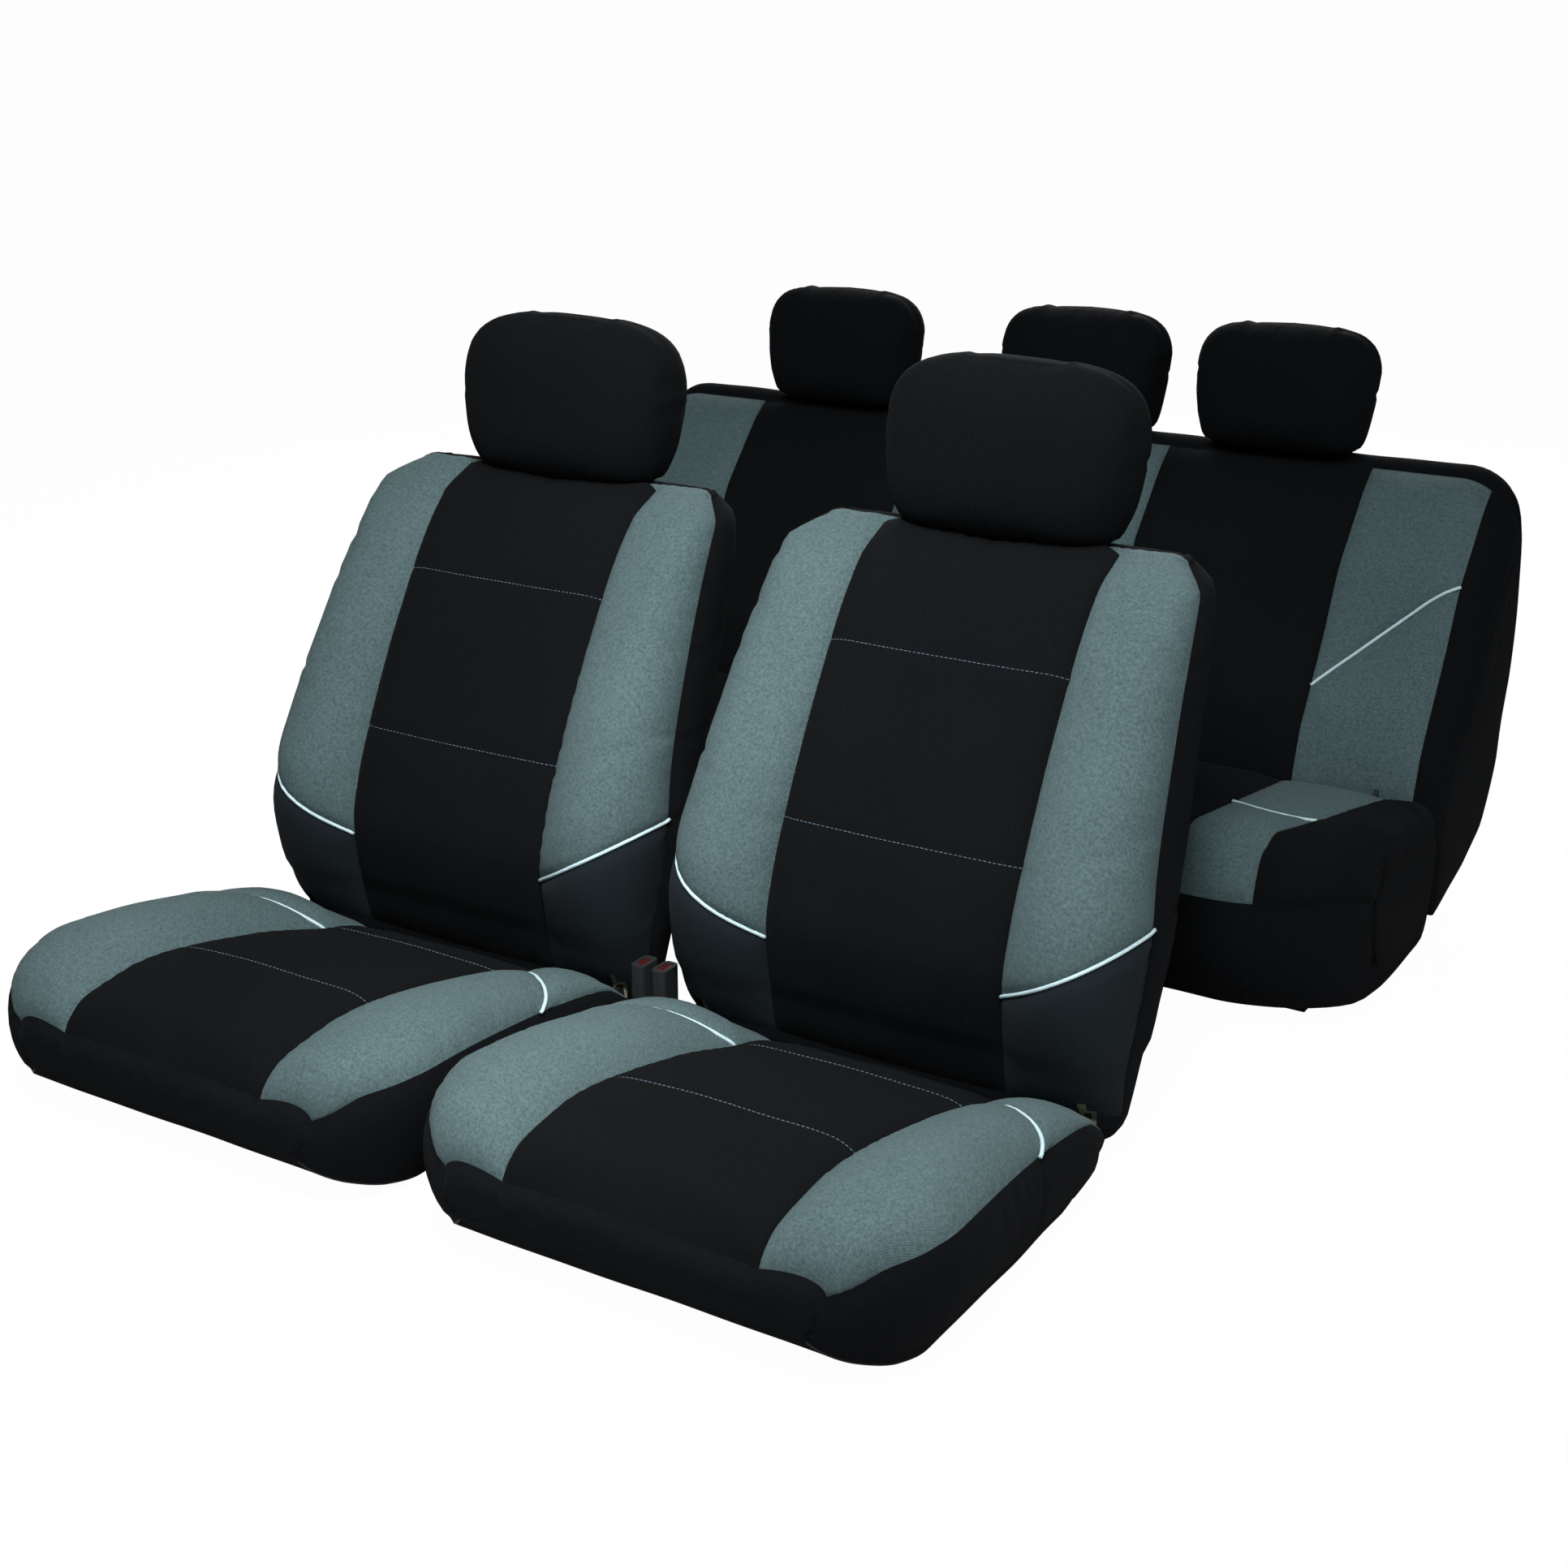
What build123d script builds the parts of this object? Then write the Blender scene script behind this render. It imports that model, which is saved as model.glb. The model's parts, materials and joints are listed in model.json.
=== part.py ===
"""Seat cover set on its seats: two front bucket seats and a rear bench.

Frame: +Z up, the seats face -Y, +X is to the right of someone looking at their fronts.
Origin: floor level, below the middle of the whole set.
While it is modelled, depth y is measured from the front seats' recliner axis instead.
A front seat is modelled once about its own middle plane and written for both seats.
"""

import os

from build123d import *

os.makedirs("parts", exist_ok=True)

# ------------------------------------------------------------------ driving dimensions, mm
seat_spacing = 580.0  # between the middle planes of the two front seats
set_middle_y = 239.0  # half way from the front cushions' noses to the back of the bench
cover = 4.0  # sewn panel: knit face, foam backing and lining
seam = 0.3  # gap left between two neighbouring panels
bead = 3.0  # how far the piping stands proud of the panels
piping_width = 4.0
foam_inset = cover + 2.5  # the foam core starts this far inside the cover's outer face
reach = 900.0  # longer than any seat is deep, for cutting prisms

# Front backrest: height, half width, middle face, bolster rise, side seam, rear face
pivot_y, pivot_z = 0.0, 60.0
backrest_rows = (
    (29, 236, -8, 0, -2, 8),
    (42, 250, -26, 0, -6, 26),
    (60, 258, -32, 0, -8, 32),
    (107, 264, -43, 10, -18, 50),
    (198, 268, -54, 28, 4, 84),
    (310, 264, -17, 30, 28, 129),
    (440, 257, 51, 14, 82, 178),
    (562, 243, 139, 4, 157, 226),
    (587, 214, 187, 0, 192, 226),
)
centre_half = 139.0  # half width of the black middle panels
backrest_crest = 210.0  # distance of the bolster crest from the middle plane
shoulder_inset, shoulder_share = 14.0, 0.2  # corner between bolster crest and side seam
gusset_share = 0.35  # share of the side that stays full width behind the seam
back_taper = 0.85  # width of the rear face over the width at the seam
front_panel_foot = 66.0  # lower edge of the backrest's front panels
backrest_foam_foot = 46.0  # lower end of the backrest's foam
piping_start = (centre_half, 184.0)  # backrest piping at the middle panel, x and z
piping_end = (270.0, 262.0)  # and at the side seam

# Front cushion: distance forward, half width, middle face, bolster rise, side seam, hem
cushion_rows = (
    (36, 254, 66, 16, 80, 34),
    (130, 262, 87, 24, 103, 10),
    (240, 267, 121, 22, 121, 10),
    (400, 281, 149, 14, 138, 10),
    (440, 274, 146, 13, 136, 16),
    (470, 254, 140, 10, 130, 28),
    (498, 224, 122, 4, 112, 46),
    (508, 200, 104, 2, 100, 62),
)
cushion_crest = 190.0
apron_seam_z = 110.0  # seam between the cushion's top panels and the front of its skirt
cushion_piping_start = (centre_half, -111.0)  # x and y
cushion_piping_end = (290.0, -240.0)
bite = ((-37, 0), (-41, 60), (-54, 74), (-68, 92), (-86, 118))  # room for the backrest's foot
opening_width, opening_length, opening_y = 430.0, 400.0, -252.0  # open underside

# Seat pan, slide rails and recliner brackets
pan_width, pan_length, pan_thickness = 430.0, 380.0, 5.0
pan_y, pan_z = -265.0, 36.0
rail_x, rail_y = 190.0, -260.0
rail_length, rail_width, rail_height, rail_wall, rail_slot = 216.0, 36.0, 20.0, 3.0, 12.0
foot_length, foot_thickness = 326.0, 4.0
floor_bolt_r, floor_bolt_spacing = 5.25, 300.0
slider_length, slider_y, slider_web, slider_flange = 320.0, -270.0, 8.0, 24.0
bracket_x, bracket_thickness, bracket_r = 229.0, 6.0, 24.0
pin_r, running_gap = 8.0, 0.05
slot_r = 38.0  # round slot in cover and foam in which a bracket's eye turns
tube_r = 11.0

# Headrests
post_r, post_spacing, post_bend, post_hole_r = 6.0, 150.0, 22.0, 8.0
sleeve_r, sleeve_length = 10.0, 75.0
frame_lean = 20.0  # front posts and frame, degrees from the vertical
front_head = {
    "half": 150,
    "foot_half": 132,
    "corner": 66,
    "edge": 30,
    "side": (
        (166, 591), (156, 640), (162, 700), (186, 770),
        (256, 770), (282, 700), (276, 640), (260, 591),
    ),
}
rear_head = {
    "half": 120,
    "foot_half": 108,
    "corner": 52,
    "edge": 26,
    "side": (
        (885, 568), (872, 606), (878, 668), (896, 720),
        (958, 720), (984, 668), (980, 606), (966, 568),
    ),
}
rear_head_x = {"left": -333.0, "middle": 46.0, "right": 333.0}
rear_post_y = 942.0

# Rear bench
bench_half = 642.0
bench_seams = (183.0, 461.0, 615.0)  # lengthwise seams, distances from the middle plane
fold_y, fold_z = 715.0, 200.0
bench_cushion_side = (
    (676, 8), (676, 206), (571, 220), (360, 249), (322, 232),
    (306, 185), (312, 108), (330, 68), (366, 34), (430, 8),
)
bench_cushion_zone = (
    (700, 170), (430, 192), (330, 178), (250, 178), (250, 320), (700, 320),
)
bench_backrest_side = (
    (690, 60), (690, 196), (706, 256), (770, 366), (806, 443),
    (884, 532), (926, 564), (956, 558), (978, 510), (986, 400),
    (982, 300), (960, 180), (917, 93), (850, 60), (740, 32),
)
bench_backrest_zone = (
    (600, 184), (716, 184), (740, 256), (796, 366),
    (832, 443), (905, 528), (938, 600), (600, 600),
)
bench_corner, bench_cushion_corner = 70.0, 150.0  # outer corners, seen square to the panels
bench_edge = 9.0  # corners of the side profiles
bench_piping = ((bench_seams[1], 307.0), (bench_seams[2], 448.0))  # x and z
bench_cushion_piping = ((bench_seams[1], 485.0), (bench_seams[2], 400.0))  # x and y
bench_bracket_x = 570.0

# Buckle on the inboard side of each front seat
buckle_x, buckle_y = 276.0, -46.0
buckle_pin_y, buckle_pin_z, buckle_pin_r = -66.0, 46.0, 5.0
buckle_width, buckle_depth, buckle_height, buckle_foot_z = 18.0, 32.0, 56.0, 58.0
button_width, button_depth, button_height, button_gap = 10.0, 18.0, 9.0, 0.3
button_travel, button_play = 3.0, 0.6  # how far it presses in, and what is still free below it then


# ------------------------------------------------------------------------------ helpers
def write(piece, name):
    """Labels a finished piece and writes it, about the middle of the set, as a STEP file."""
    with BuildPart() as placed:
        with Locations((0, -set_middle_y, 0)):
            add(piece.part)
    placed.part.label = name
    export_step(placed.part, f"parts/{name}.step")


def write_pair(piece, name, handed=False):
    """Writes a front-seat piece for both seats; a handed piece is mirrored for the right."""
    for side, way in (("left", -1), ("right", 1)):
        with BuildPart() as placed:
            with Locations((way * seat_spacing / 2, 0, 0)):
                if handed and side == "right":
                    add(mirrored(piece.part))
                else:
                    add(piece.part)
        write(placed, f"{side}_{name}")


def mirrored(solid):
    """The solid's mirror image across the middle plane."""
    with BuildPart() as image:
        mirror(solid, about=Plane.YZ)
    return image.part


def both_sides(solid):
    """The solid together with its mirror image."""
    with BuildPart() as pair:
        add(solid)
        mirror(about=Plane.YZ)
    return pair.part


def prism(plane, outline, start, stop):
    """A prism of the outline between two distances along the plane's normal."""
    with BuildPart() as solid:
        with BuildSketch(plane.offset(start)):
            Polygon(*outline, align=None)
        extrude(amount=stop - start)
    return solid.part


def rod(plane, radius, start, stop, *places):
    """Round bars along the plane's normal, between two distances, at the given places."""
    with BuildPart() as bars:
        with BuildSketch(plane.offset(start)):
            with Locations(*places):
                Circle(radius)
        extrude(amount=stop - start)
    return bars.part


def hollow(outer, inner, *openings):
    """The cover between two nested forms, less its openings."""
    with BuildPart() as shell:
        add(outer)
        for solid in (inner, *openings):
            add(solid, mode=Mode.SUBTRACT)
    return shell.part


def panel(shell, *zones, without=()):
    """The part of a cover that is inside every zone and outside the others."""
    with BuildPart() as piece:
        add(shell)
        for zone in zones:
            add(zone, mode=Mode.INTERSECT)
        for zone in without:
            add(zone, mode=Mode.SUBTRACT)
    return piece


def band(start, end, low, high):
    """Outline between two lines parallel to start-end, offset sideways by low and high."""
    (x0, y0), (x1, y1) = start, end
    slope = (y1 - y0) / (x1 - x0)
    rise = (1 + slope * slope) ** 0.5
    inner_x, outer_x = x0 - 60, x1 + 60
    inner_y, outer_y = y0 - 60 * slope, y1 + 60 * slope
    return (
        (inner_x, inner_y + low * rise),
        (outer_x, outer_y + low * rise),
        (outer_x, outer_y + high * rise),
        (inner_x, inner_y + high * rise),
    )


# ----------------------------------------------------------------- front backrest: forms
def backrest_section(half, front, rise, side, rear, inset):
    """One level cross-section of the backrest, inset evenly, as x, y points."""
    wide = half - inset
    gusset = side + gusset_share * (rear - side)
    crest_x, crest = min(backrest_crest, wide - 2 * shoulder_inset), front - rise + inset
    right = (
        (centre_half, front + inset),
        (crest_x, crest),
        (wide - shoulder_inset, crest + shoulder_share * (side - crest)),
        (wide, side),
        (wide, gusset),
        (half * back_taper - inset, rear - inset),
    )
    return right + tuple((-x, y) for x, y in reversed(right))


def backrest_form(inset):
    """The backrest's closed form, shrunk by the inset or grown by a negative one."""
    rows = [list(row) for row in backrest_rows]
    rows[0][0] += inset
    rows[-1][0] -= inset
    with BuildPart() as form:
        for z, half, front, rise, side, rear in rows:
            with BuildSketch(Plane.XY.offset(z)):
                Polygon(*backrest_section(half, front, rise, side, rear, inset), align=None)
        loft(ruled=True)
    return form.part


lean_plane = Plane(origin=(0, pivot_y, pivot_z), x_dir=(1, 0, 0), z_dir=(0, 0, 1)).rotated(
    (-frame_lean, 0, 0)
)  # its normal runs up along the posts
across = ((-post_spacing / 2, 0), (post_spacing / 2, 0))
backrest_top = (backrest_rows[-1][0] - pivot_z) / lean_plane.z_dir.Z
post_foot = backrest_top - 150
post_top = backrest_top + 90
bracket_slots = both_sides(
    rod(Plane.YZ, slot_r, bracket_x - 5, bracket_x + 5, (pivot_y, pivot_z))
)
post_channels = rod(lean_plane, post_hole_r, post_foot - 65, backrest_top + 30, *across)

backrest_inner = backrest_form(cover)
backrest_shell = hollow(backrest_form(0), backrest_inner, bracket_slots, post_channels)
backrest_bead = hollow(backrest_form(-bead), backrest_inner)

seam_line = [(side, z) for z, _, _, _, side, _ in backrest_rows[3:-1]]
front_outline = [(-200, front_panel_foot), (seam_line[0][0], front_panel_foot)]
front_outline += seam_line + [(200, 640), (-200, 640)]
rear_outline = [(y + seam, z) for y, z in front_outline[1:-1]]
rear_outline = [(-200, front_panel_foot - seam)] + rear_outline + [(-200, 640)]
rear_outline[1] = (rear_outline[1][0], front_panel_foot - seam)

backrest_middle = prism(Plane.YZ, front_outline, seam / 2 - centre_half, centre_half - seam / 2)
backrest_flank = both_sides(prism(Plane.YZ, front_outline, centre_half + seam / 2, 300))
backrest_front = prism(Plane.YZ, rear_outline, -reach, reach)
half_bead = piping_width / 2


def diagonal(plane, start, end, low, high):
    """Mirrored pair of slabs along a diagonal line, square to the plane."""
    return both_sides(prism(plane, band(start, end, low, high), -reach, reach))


# ---------------------------------------------------------------- front backrest: pieces
above_piping = diagonal(Plane.XZ, piping_start, piping_end, half_bead + seam, reach)
below_piping = diagonal(Plane.XZ, piping_start, piping_end, -reach, -half_bead - seam)
along_piping = diagonal(Plane.XZ, piping_start, piping_end, -half_bead, half_bead)

backrest_centre_panel = panel(backrest_shell, backrest_middle)
write_pair(backrest_centre_panel, "backrest_centre_panel")

backrest_bolster_panels = panel(backrest_shell, backrest_flank, above_piping)
write_pair(backrest_bolster_panels, "backrest_bolster_panels")

backrest_lower_panels = panel(backrest_shell, backrest_flank, below_piping)
write_pair(backrest_lower_panels, "backrest_lower_panels")

backrest_piping = panel(backrest_bead, backrest_flank, along_piping)
write_pair(backrest_piping, "backrest_piping")

backrest_back_cover = panel(backrest_shell, without=(backrest_front,))
write_pair(backrest_back_cover, "backrest_back_cover")

with BuildPart() as backrest_foam:
    add(backrest_form(foam_inset))
    with Locations((0, 0, backrest_foam_foot / 2)):  # nothing in the thin foot of the cover
        Box(2 * reach, 2 * reach, backrest_foam_foot, mode=Mode.SUBTRACT)
    add(bracket_slots, mode=Mode.SUBTRACT)
    add(post_channels, mode=Mode.SUBTRACT)
write_pair(backrest_foam, "backrest_foam")

frame_x = 205.0  # the frame's upright tubes, distance from the middle plane
frame_top = backrest_top - 50
frame_face = Plane(origin=(0, pivot_y, pivot_z), x_dir=(1, 0, 0), z_dir=-lean_plane.y_dir)
with BuildPart() as backrest_frame:
    with BuildLine(frame_face) as hoop:
        FilletPolyline(
            (-frame_x, 0), (-frame_x, frame_top), (frame_x, frame_top), (frame_x, 0), radius=60
        )
    with BuildSketch(Plane(origin=hoop.line @ 0, z_dir=hoop.line % 0)):
        Circle(tube_r)
    sweep()
    add(rod(Plane.YZ, tube_r, -frame_x, frame_x, (25, 130)))
    add(both_sides(rod(Plane.YZ, pin_r, frame_x, bracket_x + 6, (pivot_y, pivot_z))))
    add(both_sides(rod(Plane.YZ, tube_r + 6, frame_x + 8, frame_x + 15, (pivot_y, pivot_z))))
    add(rod(lean_plane, sleeve_r, backrest_top - 20 - sleeve_length, backrest_top - 20, *across))
    add(
        rod(lean_plane, post_r + running_gap, post_foot - 65, backrest_top + 30, *across),
        mode=Mode.SUBTRACT,
    )
write_pair(backrest_frame, "backrest_frame")


# ------------------------------------------------------------------------ front cushion
def cushion_section(half, top, rise, side, hem, inset):
    """One upright cross-section of the cushion, inset evenly, as x, z points."""
    wide = half - inset
    right = (
        (centre_half, top - inset),
        (cushion_crest, top + rise - inset),
        (wide, side),
        (wide, side - 0.4 * (side - hem)),
        (wide - 14, hem + inset),
    )
    return right + tuple((-x, z) for x, z in reversed(right))


def cushion_form(inset):
    """The cushion's closed form, shrunk by the inset, with room for the backrest's foot."""
    rows = [list(row) for row in cushion_rows]
    rows[0][0] += inset
    rows[-1][0] -= inset
    bite_outline = [(y - inset, z) for y, z in bite] + [(50, bite[-1][1]), (50, 0)]
    with BuildPart() as form:
        for forward, half, top, rise, side, hem in rows:
            with BuildSketch(Plane.XZ.offset(forward)):
                Polygon(*cushion_section(half, top, rise, side, hem, inset), align=None)
        loft(ruled=True)
        add(prism(Plane.YZ, bite_outline, -reach, reach), mode=Mode.SUBTRACT)
    return form.part


with BuildPart() as cushion_openings:
    with Locations((0, opening_y, 0)):
        Box(opening_width, opening_length, 2 * 25)
    with Locations((0, -40, 50)):
        Box(2 * bracket_x + 14, 50, 48)
    add(rod(Plane.YZ, buckle_pin_r + 2, 200, 320, (buckle_pin_y, buckle_pin_z)))
    add(rod(Plane.YZ, buckle_pin_r + 2, -320, -200, (buckle_pin_y, buckle_pin_z)))

cushion_inner = cushion_form(cover)
cushion_shell = hollow(cushion_form(0), cushion_inner, cushion_openings.part)
cushion_bead = hollow(cushion_form(-bead), cushion_inner)


def above(rows, drop, front_z, gap):
    """Outline, in y and z, of everything above a seam line that runs down to the front."""
    line = [(-y, z - drop) for y, z in rows if y < 460]
    line = [(20, line[0][1])] + line + [(-480, front_z), (-540, front_z)]
    return [(y, z - gap) for y, z in line] + [(-540, 300), (20, 300)]


middle_line = [(row[0], row[2]) for row in cushion_rows]
side_line = [(row[0], row[4]) for row in cushion_rows]
middle_top = above(middle_line, 12, apron_seam_z, 0)
middle_top_wide = above(middle_line, 12, apron_seam_z, seam)
side_top = above(side_line, 0, apron_seam_z, 0)
side_top_wide = above(side_line, 0, apron_seam_z, seam)
cushion_middle = prism(Plane.YZ, middle_top, seam / 2 - centre_half, centre_half - seam / 2)
cushion_flank = both_sides(prism(Plane.YZ, side_top, centre_half + seam / 2, 320))
cushion_cut_middle = prism(Plane.YZ, middle_top_wide, -centre_half, centre_half)
cushion_cut_flank = both_sides(prism(Plane.YZ, side_top_wide, centre_half, 320))
cushion_line = (cushion_piping_start, cushion_piping_end)

cushion_groove = diagonal(Plane.XY, *cushion_line, -half_bead - seam, half_bead + seam)
along_cushion_piping = diagonal(Plane.XY, *cushion_line, -half_bead, half_bead)

cushion_centre_panel = panel(cushion_shell, cushion_middle)
write_pair(cushion_centre_panel, "cushion_centre_panel")

cushion_bolster_panels = panel(cushion_shell, cushion_flank, without=(cushion_groove,))
write_pair(cushion_bolster_panels, "cushion_bolster_panels")

cushion_piping = panel(cushion_bead, cushion_flank, along_cushion_piping)
write_pair(cushion_piping, "cushion_piping")

cushion_skirt = panel(cushion_shell, without=(cushion_cut_middle, cushion_cut_flank))
write_pair(cushion_skirt, "cushion_skirt")

foam_foot = pan_z + pan_thickness + seam
with BuildPart() as cushion_foam:
    add(cushion_form(foam_inset))
    with Locations((0, 0, foam_foot - 50)):  # nothing below the pan's upper face
        Box(2 * reach, 2 * reach, 100, mode=Mode.SUBTRACT)
    with Locations((0, buckle_pin_y, 50)):  # nothing round the recliners and the buckle pin
        Box(2 * bracket_x + 60, 88, 80, mode=Mode.SUBTRACT)
write_pair(cushion_foam, "cushion_foam")

# Elastic straps run below the pan, sewn to the front hem and the rear hem, each with a clip
strap_width, strap_thickness, strap_x = 25.0, 1.5, 70.0
strap_front, strap_rear = (-458.0, 23.0), (-60.0, 29.0)  # y and z of the sewn ends
clip_width, clip_length, clip_thickness = 38.0, 30.0, 6.0
strap_outline = (
    strap_front,
    strap_rear,
    (strap_rear[0], strap_rear[1] + strap_thickness),
    (strap_front[0], strap_front[1] + strap_thickness),
)
clip_place = (strap_x, (strap_front[0] + strap_rear[0]) / 2, (strap_front[1] + strap_rear[1]) / 2)
with BuildPart() as strap:
    add(prism(Plane.YZ, strap_outline, strap_x - strap_width / 2, strap_x + strap_width / 2))
    with Locations(clip_place):
        Box(clip_width, clip_length, clip_thickness)
with BuildPart() as cushion_straps:
    add(both_sides(strap.part))
write_pair(cushion_straps, "cushion_straps")


# --------------------------------------------------------- seat pan, rails and recliner
def slider(x):
    """Upper rail: an inverted tee held by the lower rail's lips."""
    flange_z, flange_thickness = foot_thickness + rail_wall + 1, 4
    half_web, half_flange = slider_web / 2, slider_flange / 2
    outline = (
        (x - half_flange, flange_z),
        (x + half_flange, flange_z),
        (x + half_flange, flange_z + flange_thickness),
        (x + half_web, flange_z + flange_thickness),
        (x + half_web, pan_z + 1),
        (x - half_web, pan_z + 1),
        (x - half_web, flange_z + flange_thickness),
        (x - half_flange, flange_z + flange_thickness),
    )
    front = -slider_y - slider_length / 2
    return prism(Plane.XZ, outline, front, front + slider_length)


pivot = (pivot_y, pivot_z)
bracket_arm = (
    (pivot_y - bracket_r + 3, pivot_z - 12),
    (pivot_y - bracket_r + 3, pivot_z + 8),
    (-110, pan_z + 12),
    (-110, pan_z),
    (-60, pan_z),
)
bracket_near, bracket_far = bracket_x - bracket_thickness / 2, bracket_x + bracket_thickness / 2
bracket_foot = ((200, pan_z), (bracket_far, pan_z), (bracket_far, pan_z + 5), (200, pan_z + 5))
with BuildPart() as seat_pan:
    with Locations((0, pan_y, pan_z + pan_thickness / 2)):
        Box(pan_width, pan_length, pan_thickness)
    add(slider(-rail_x))
    add(slider(rail_x))
    add(both_sides(prism(Plane.YZ, bracket_arm, bracket_near, bracket_far)))
    add(both_sides(rod(Plane.YZ, bracket_r, bracket_near, bracket_far, (pivot_y, pivot_z))))
    add(both_sides(prism(Plane.XZ, bracket_foot, 80, 150)))
    add(
        both_sides(
            rod(Plane.YZ, pin_r + running_gap, bracket_near - 1, bracket_far + 1, pivot)
        ),
        mode=Mode.SUBTRACT,
    )
    add(rod(Plane.YZ, buckle_pin_r, bracket_x, buckle_x + 9, (buckle_pin_y, buckle_pin_z)))
write_pair(seat_pan, "seat_pan", handed=True)

with BuildPart() as slide_rails:
    rail_centres = [
        (way * seat_spacing / 2 + side * rail_x, rail_y) for way in (-1, 1) for side in (-1, 1)
    ]
    with BuildSketch(Plane.XY):
        with Locations(*rail_centres):
            Rectangle(rail_width, foot_length)
    extrude(amount=foot_thickness)
    with BuildSketch(Plane.XY.offset(foot_thickness)):
        with Locations(*rail_centres):
            Rectangle(rail_width, rail_length)
    extrude(amount=rail_height)
    with BuildSketch(Plane.XY.offset(foot_thickness + 1)):
        with Locations(*rail_centres):
            Rectangle(rail_width - 2 * rail_wall, rail_length)
    extrude(amount=rail_height - rail_wall - 1, mode=Mode.SUBTRACT)
    with BuildSketch(Plane.XY.offset(foot_thickness + 1)):
        with Locations(*rail_centres):
            Rectangle(rail_slot, rail_length)
    extrude(amount=rail_height, mode=Mode.SUBTRACT)
    with Locations(*rail_centres):
        with GridLocations(1, floor_bolt_spacing, 1, 2):
            Hole(floor_bolt_r)
write(slide_rails, "slide_rails")


# ----------------------------------------------------------------------------- headrests
def headrest_form(head, inset):
    """Rounded block: a side profile crossed with a slightly lower front outline."""
    half, foot_half, side = head["half"], head["foot_half"], head["side"]
    foot, top = side[0][1] + 1, side[3][1] - 1
    waist = (foot + top) / 2
    front, rear = side[1][0] - 10, side[5][0] + 10
    right = ((foot_half, foot), (half, waist), (half - 6, top))
    outline = right + tuple((-x, z) for x, z in reversed(right))
    with BuildPart() as form:
        with BuildSketch(Plane.YZ.offset(-half)) as profile:
            Polygon(*side, align=None)
            offset(amount=-inset, kind=Kind.INTERSECTION)
            fillet(profile.vertices(), radius=head["edge"] - inset)
        extrude(amount=2 * half)
        with BuildSketch(Plane.XZ.offset(-rear)) as face:
            Polygon(*outline, align=None)
            offset(amount=-inset, kind=Kind.INTERSECTION)
            fillet(face.vertices(), radius=head["corner"] - inset)
        extrude(amount=rear - front, mode=Mode.INTERSECT)
    return form.part


def headrest(head, post_plane, foot, top, x=0.0):
    """Cover, foam and posts of one headrest whose posts run along the plane's normal."""
    low_x, high_x = x - post_spacing / 2, x + post_spacing / 2
    post_line = [(low_x, foot), (low_x, top), (high_x, top), (high_x, foot)]
    with BuildPart() as posts:
        with BuildLine(Plane(post_plane.origin, post_plane.x_dir, -post_plane.y_dir)) as bar:
            FilletPolyline(*post_line, radius=post_bend)
        with BuildSketch(Plane(origin=bar.line @ 0, z_dir=bar.line % 0)):
            Circle(post_r)
        sweep()
    holes = rod(post_plane, post_hole_r, foot, foot + 260, (low_x, 0), (high_x, 0))
    centre = Location((x, 0, 0))
    outer = headrest_form(head, 0).moved(centre)
    inner = headrest_form(head, cover).moved(centre)
    shell = panel(hollow(outer, inner, holes))
    with BuildPart() as foam:
        add(headrest_form(head, foam_inset).moved(centre))
    return shell, foam, posts


headrest_cover, headrest_foam, headrest_posts = headrest(
    front_head, lean_plane, post_foot, post_top
)
write_pair(headrest_cover, "headrest_cover")
write_pair(headrest_foam, "headrest_foam")
write_pair(headrest_posts, "headrest_posts")

rear_post_plane = Plane.XY.move(Location((0, rear_post_y, 0)))
rear_post_foot, rear_post_top = 420.0, 660.0
for place, head_x in rear_head_x.items():
    shell, foam, posts = headrest(
        rear_head, rear_post_plane, rear_post_foot, rear_post_top, head_x
    )
    write(shell, f"rear_{place}_headrest_cover")
    write(foam, f"rear_{place}_headrest_foam")
    write(posts, f"rear_{place}_headrest_posts")


# --------------------------------------------------------------------------- rear bench
def bench_form(side, plane, low, high, corner, inset):
    """A side profile run across the bench, with its outer corners rounded in one view."""
    with BuildPart() as form:
        with BuildSketch(Plane.YZ.offset(-bench_half)) as profile:
            Polygon(*side, align=None)
            fillet(profile.vertices(), radius=bench_edge)
            offset(amount=-inset)
        extrude(amount=2 * bench_half)
        with BuildSketch(plane) as outline:
            with Locations((0, (low + high) / 2)):
                RectangleRounded(2 * bench_half, high - low, corner)
            offset(amount=-inset)
        extrude(amount=2 * reach, both=True, mode=Mode.INTERSECT)
    return form.part


bench_front, bench_behind = 306.0, 676.0  # the cushion's nose and rear face
bench_top = 560.0
rear_post_places = [
    (x + side * post_spacing / 2, 0) for x in rear_head_x.values() for side in (-1, 1)
]
rear_channels = rod(rear_post_plane, post_hole_r, rear_post_foot - 60, 600, *rear_post_places)
fold_slots = both_sides(
    rod(Plane.YZ, slot_r, bench_bracket_x - 5, bench_bracket_x + 5, (fold_y, fold_z))
)
with BuildPart() as bench_openings:
    with Locations((0, bench_behind, 100)):  # where the fold brackets leave the cushion
        Box(2 * bench_bracket_x + 30, 24, 260)
    with Locations((0, 543, 8)):  # open underside
        Box(2 * bench_half - 100, 206, 12)


def bench_cushion(inset):
    """The bench cushion's closed form."""
    low, high = bench_front, bench_behind + bench_cushion_corner
    return bench_form(bench_cushion_side, Plane.XY, low, high, bench_cushion_corner, inset)


def bench_backrest(inset):
    """The bench backrest's closed form."""
    return bench_form(bench_backrest_side, Plane.XZ, -bench_corner, bench_top, bench_corner, inset)


def between(outline, low, high):
    """Mirrored prisms between two distances from the middle plane, with seam gaps."""
    return both_sides(prism(Plane.YZ, outline, low + seam / 2, high - seam / 2))


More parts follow.
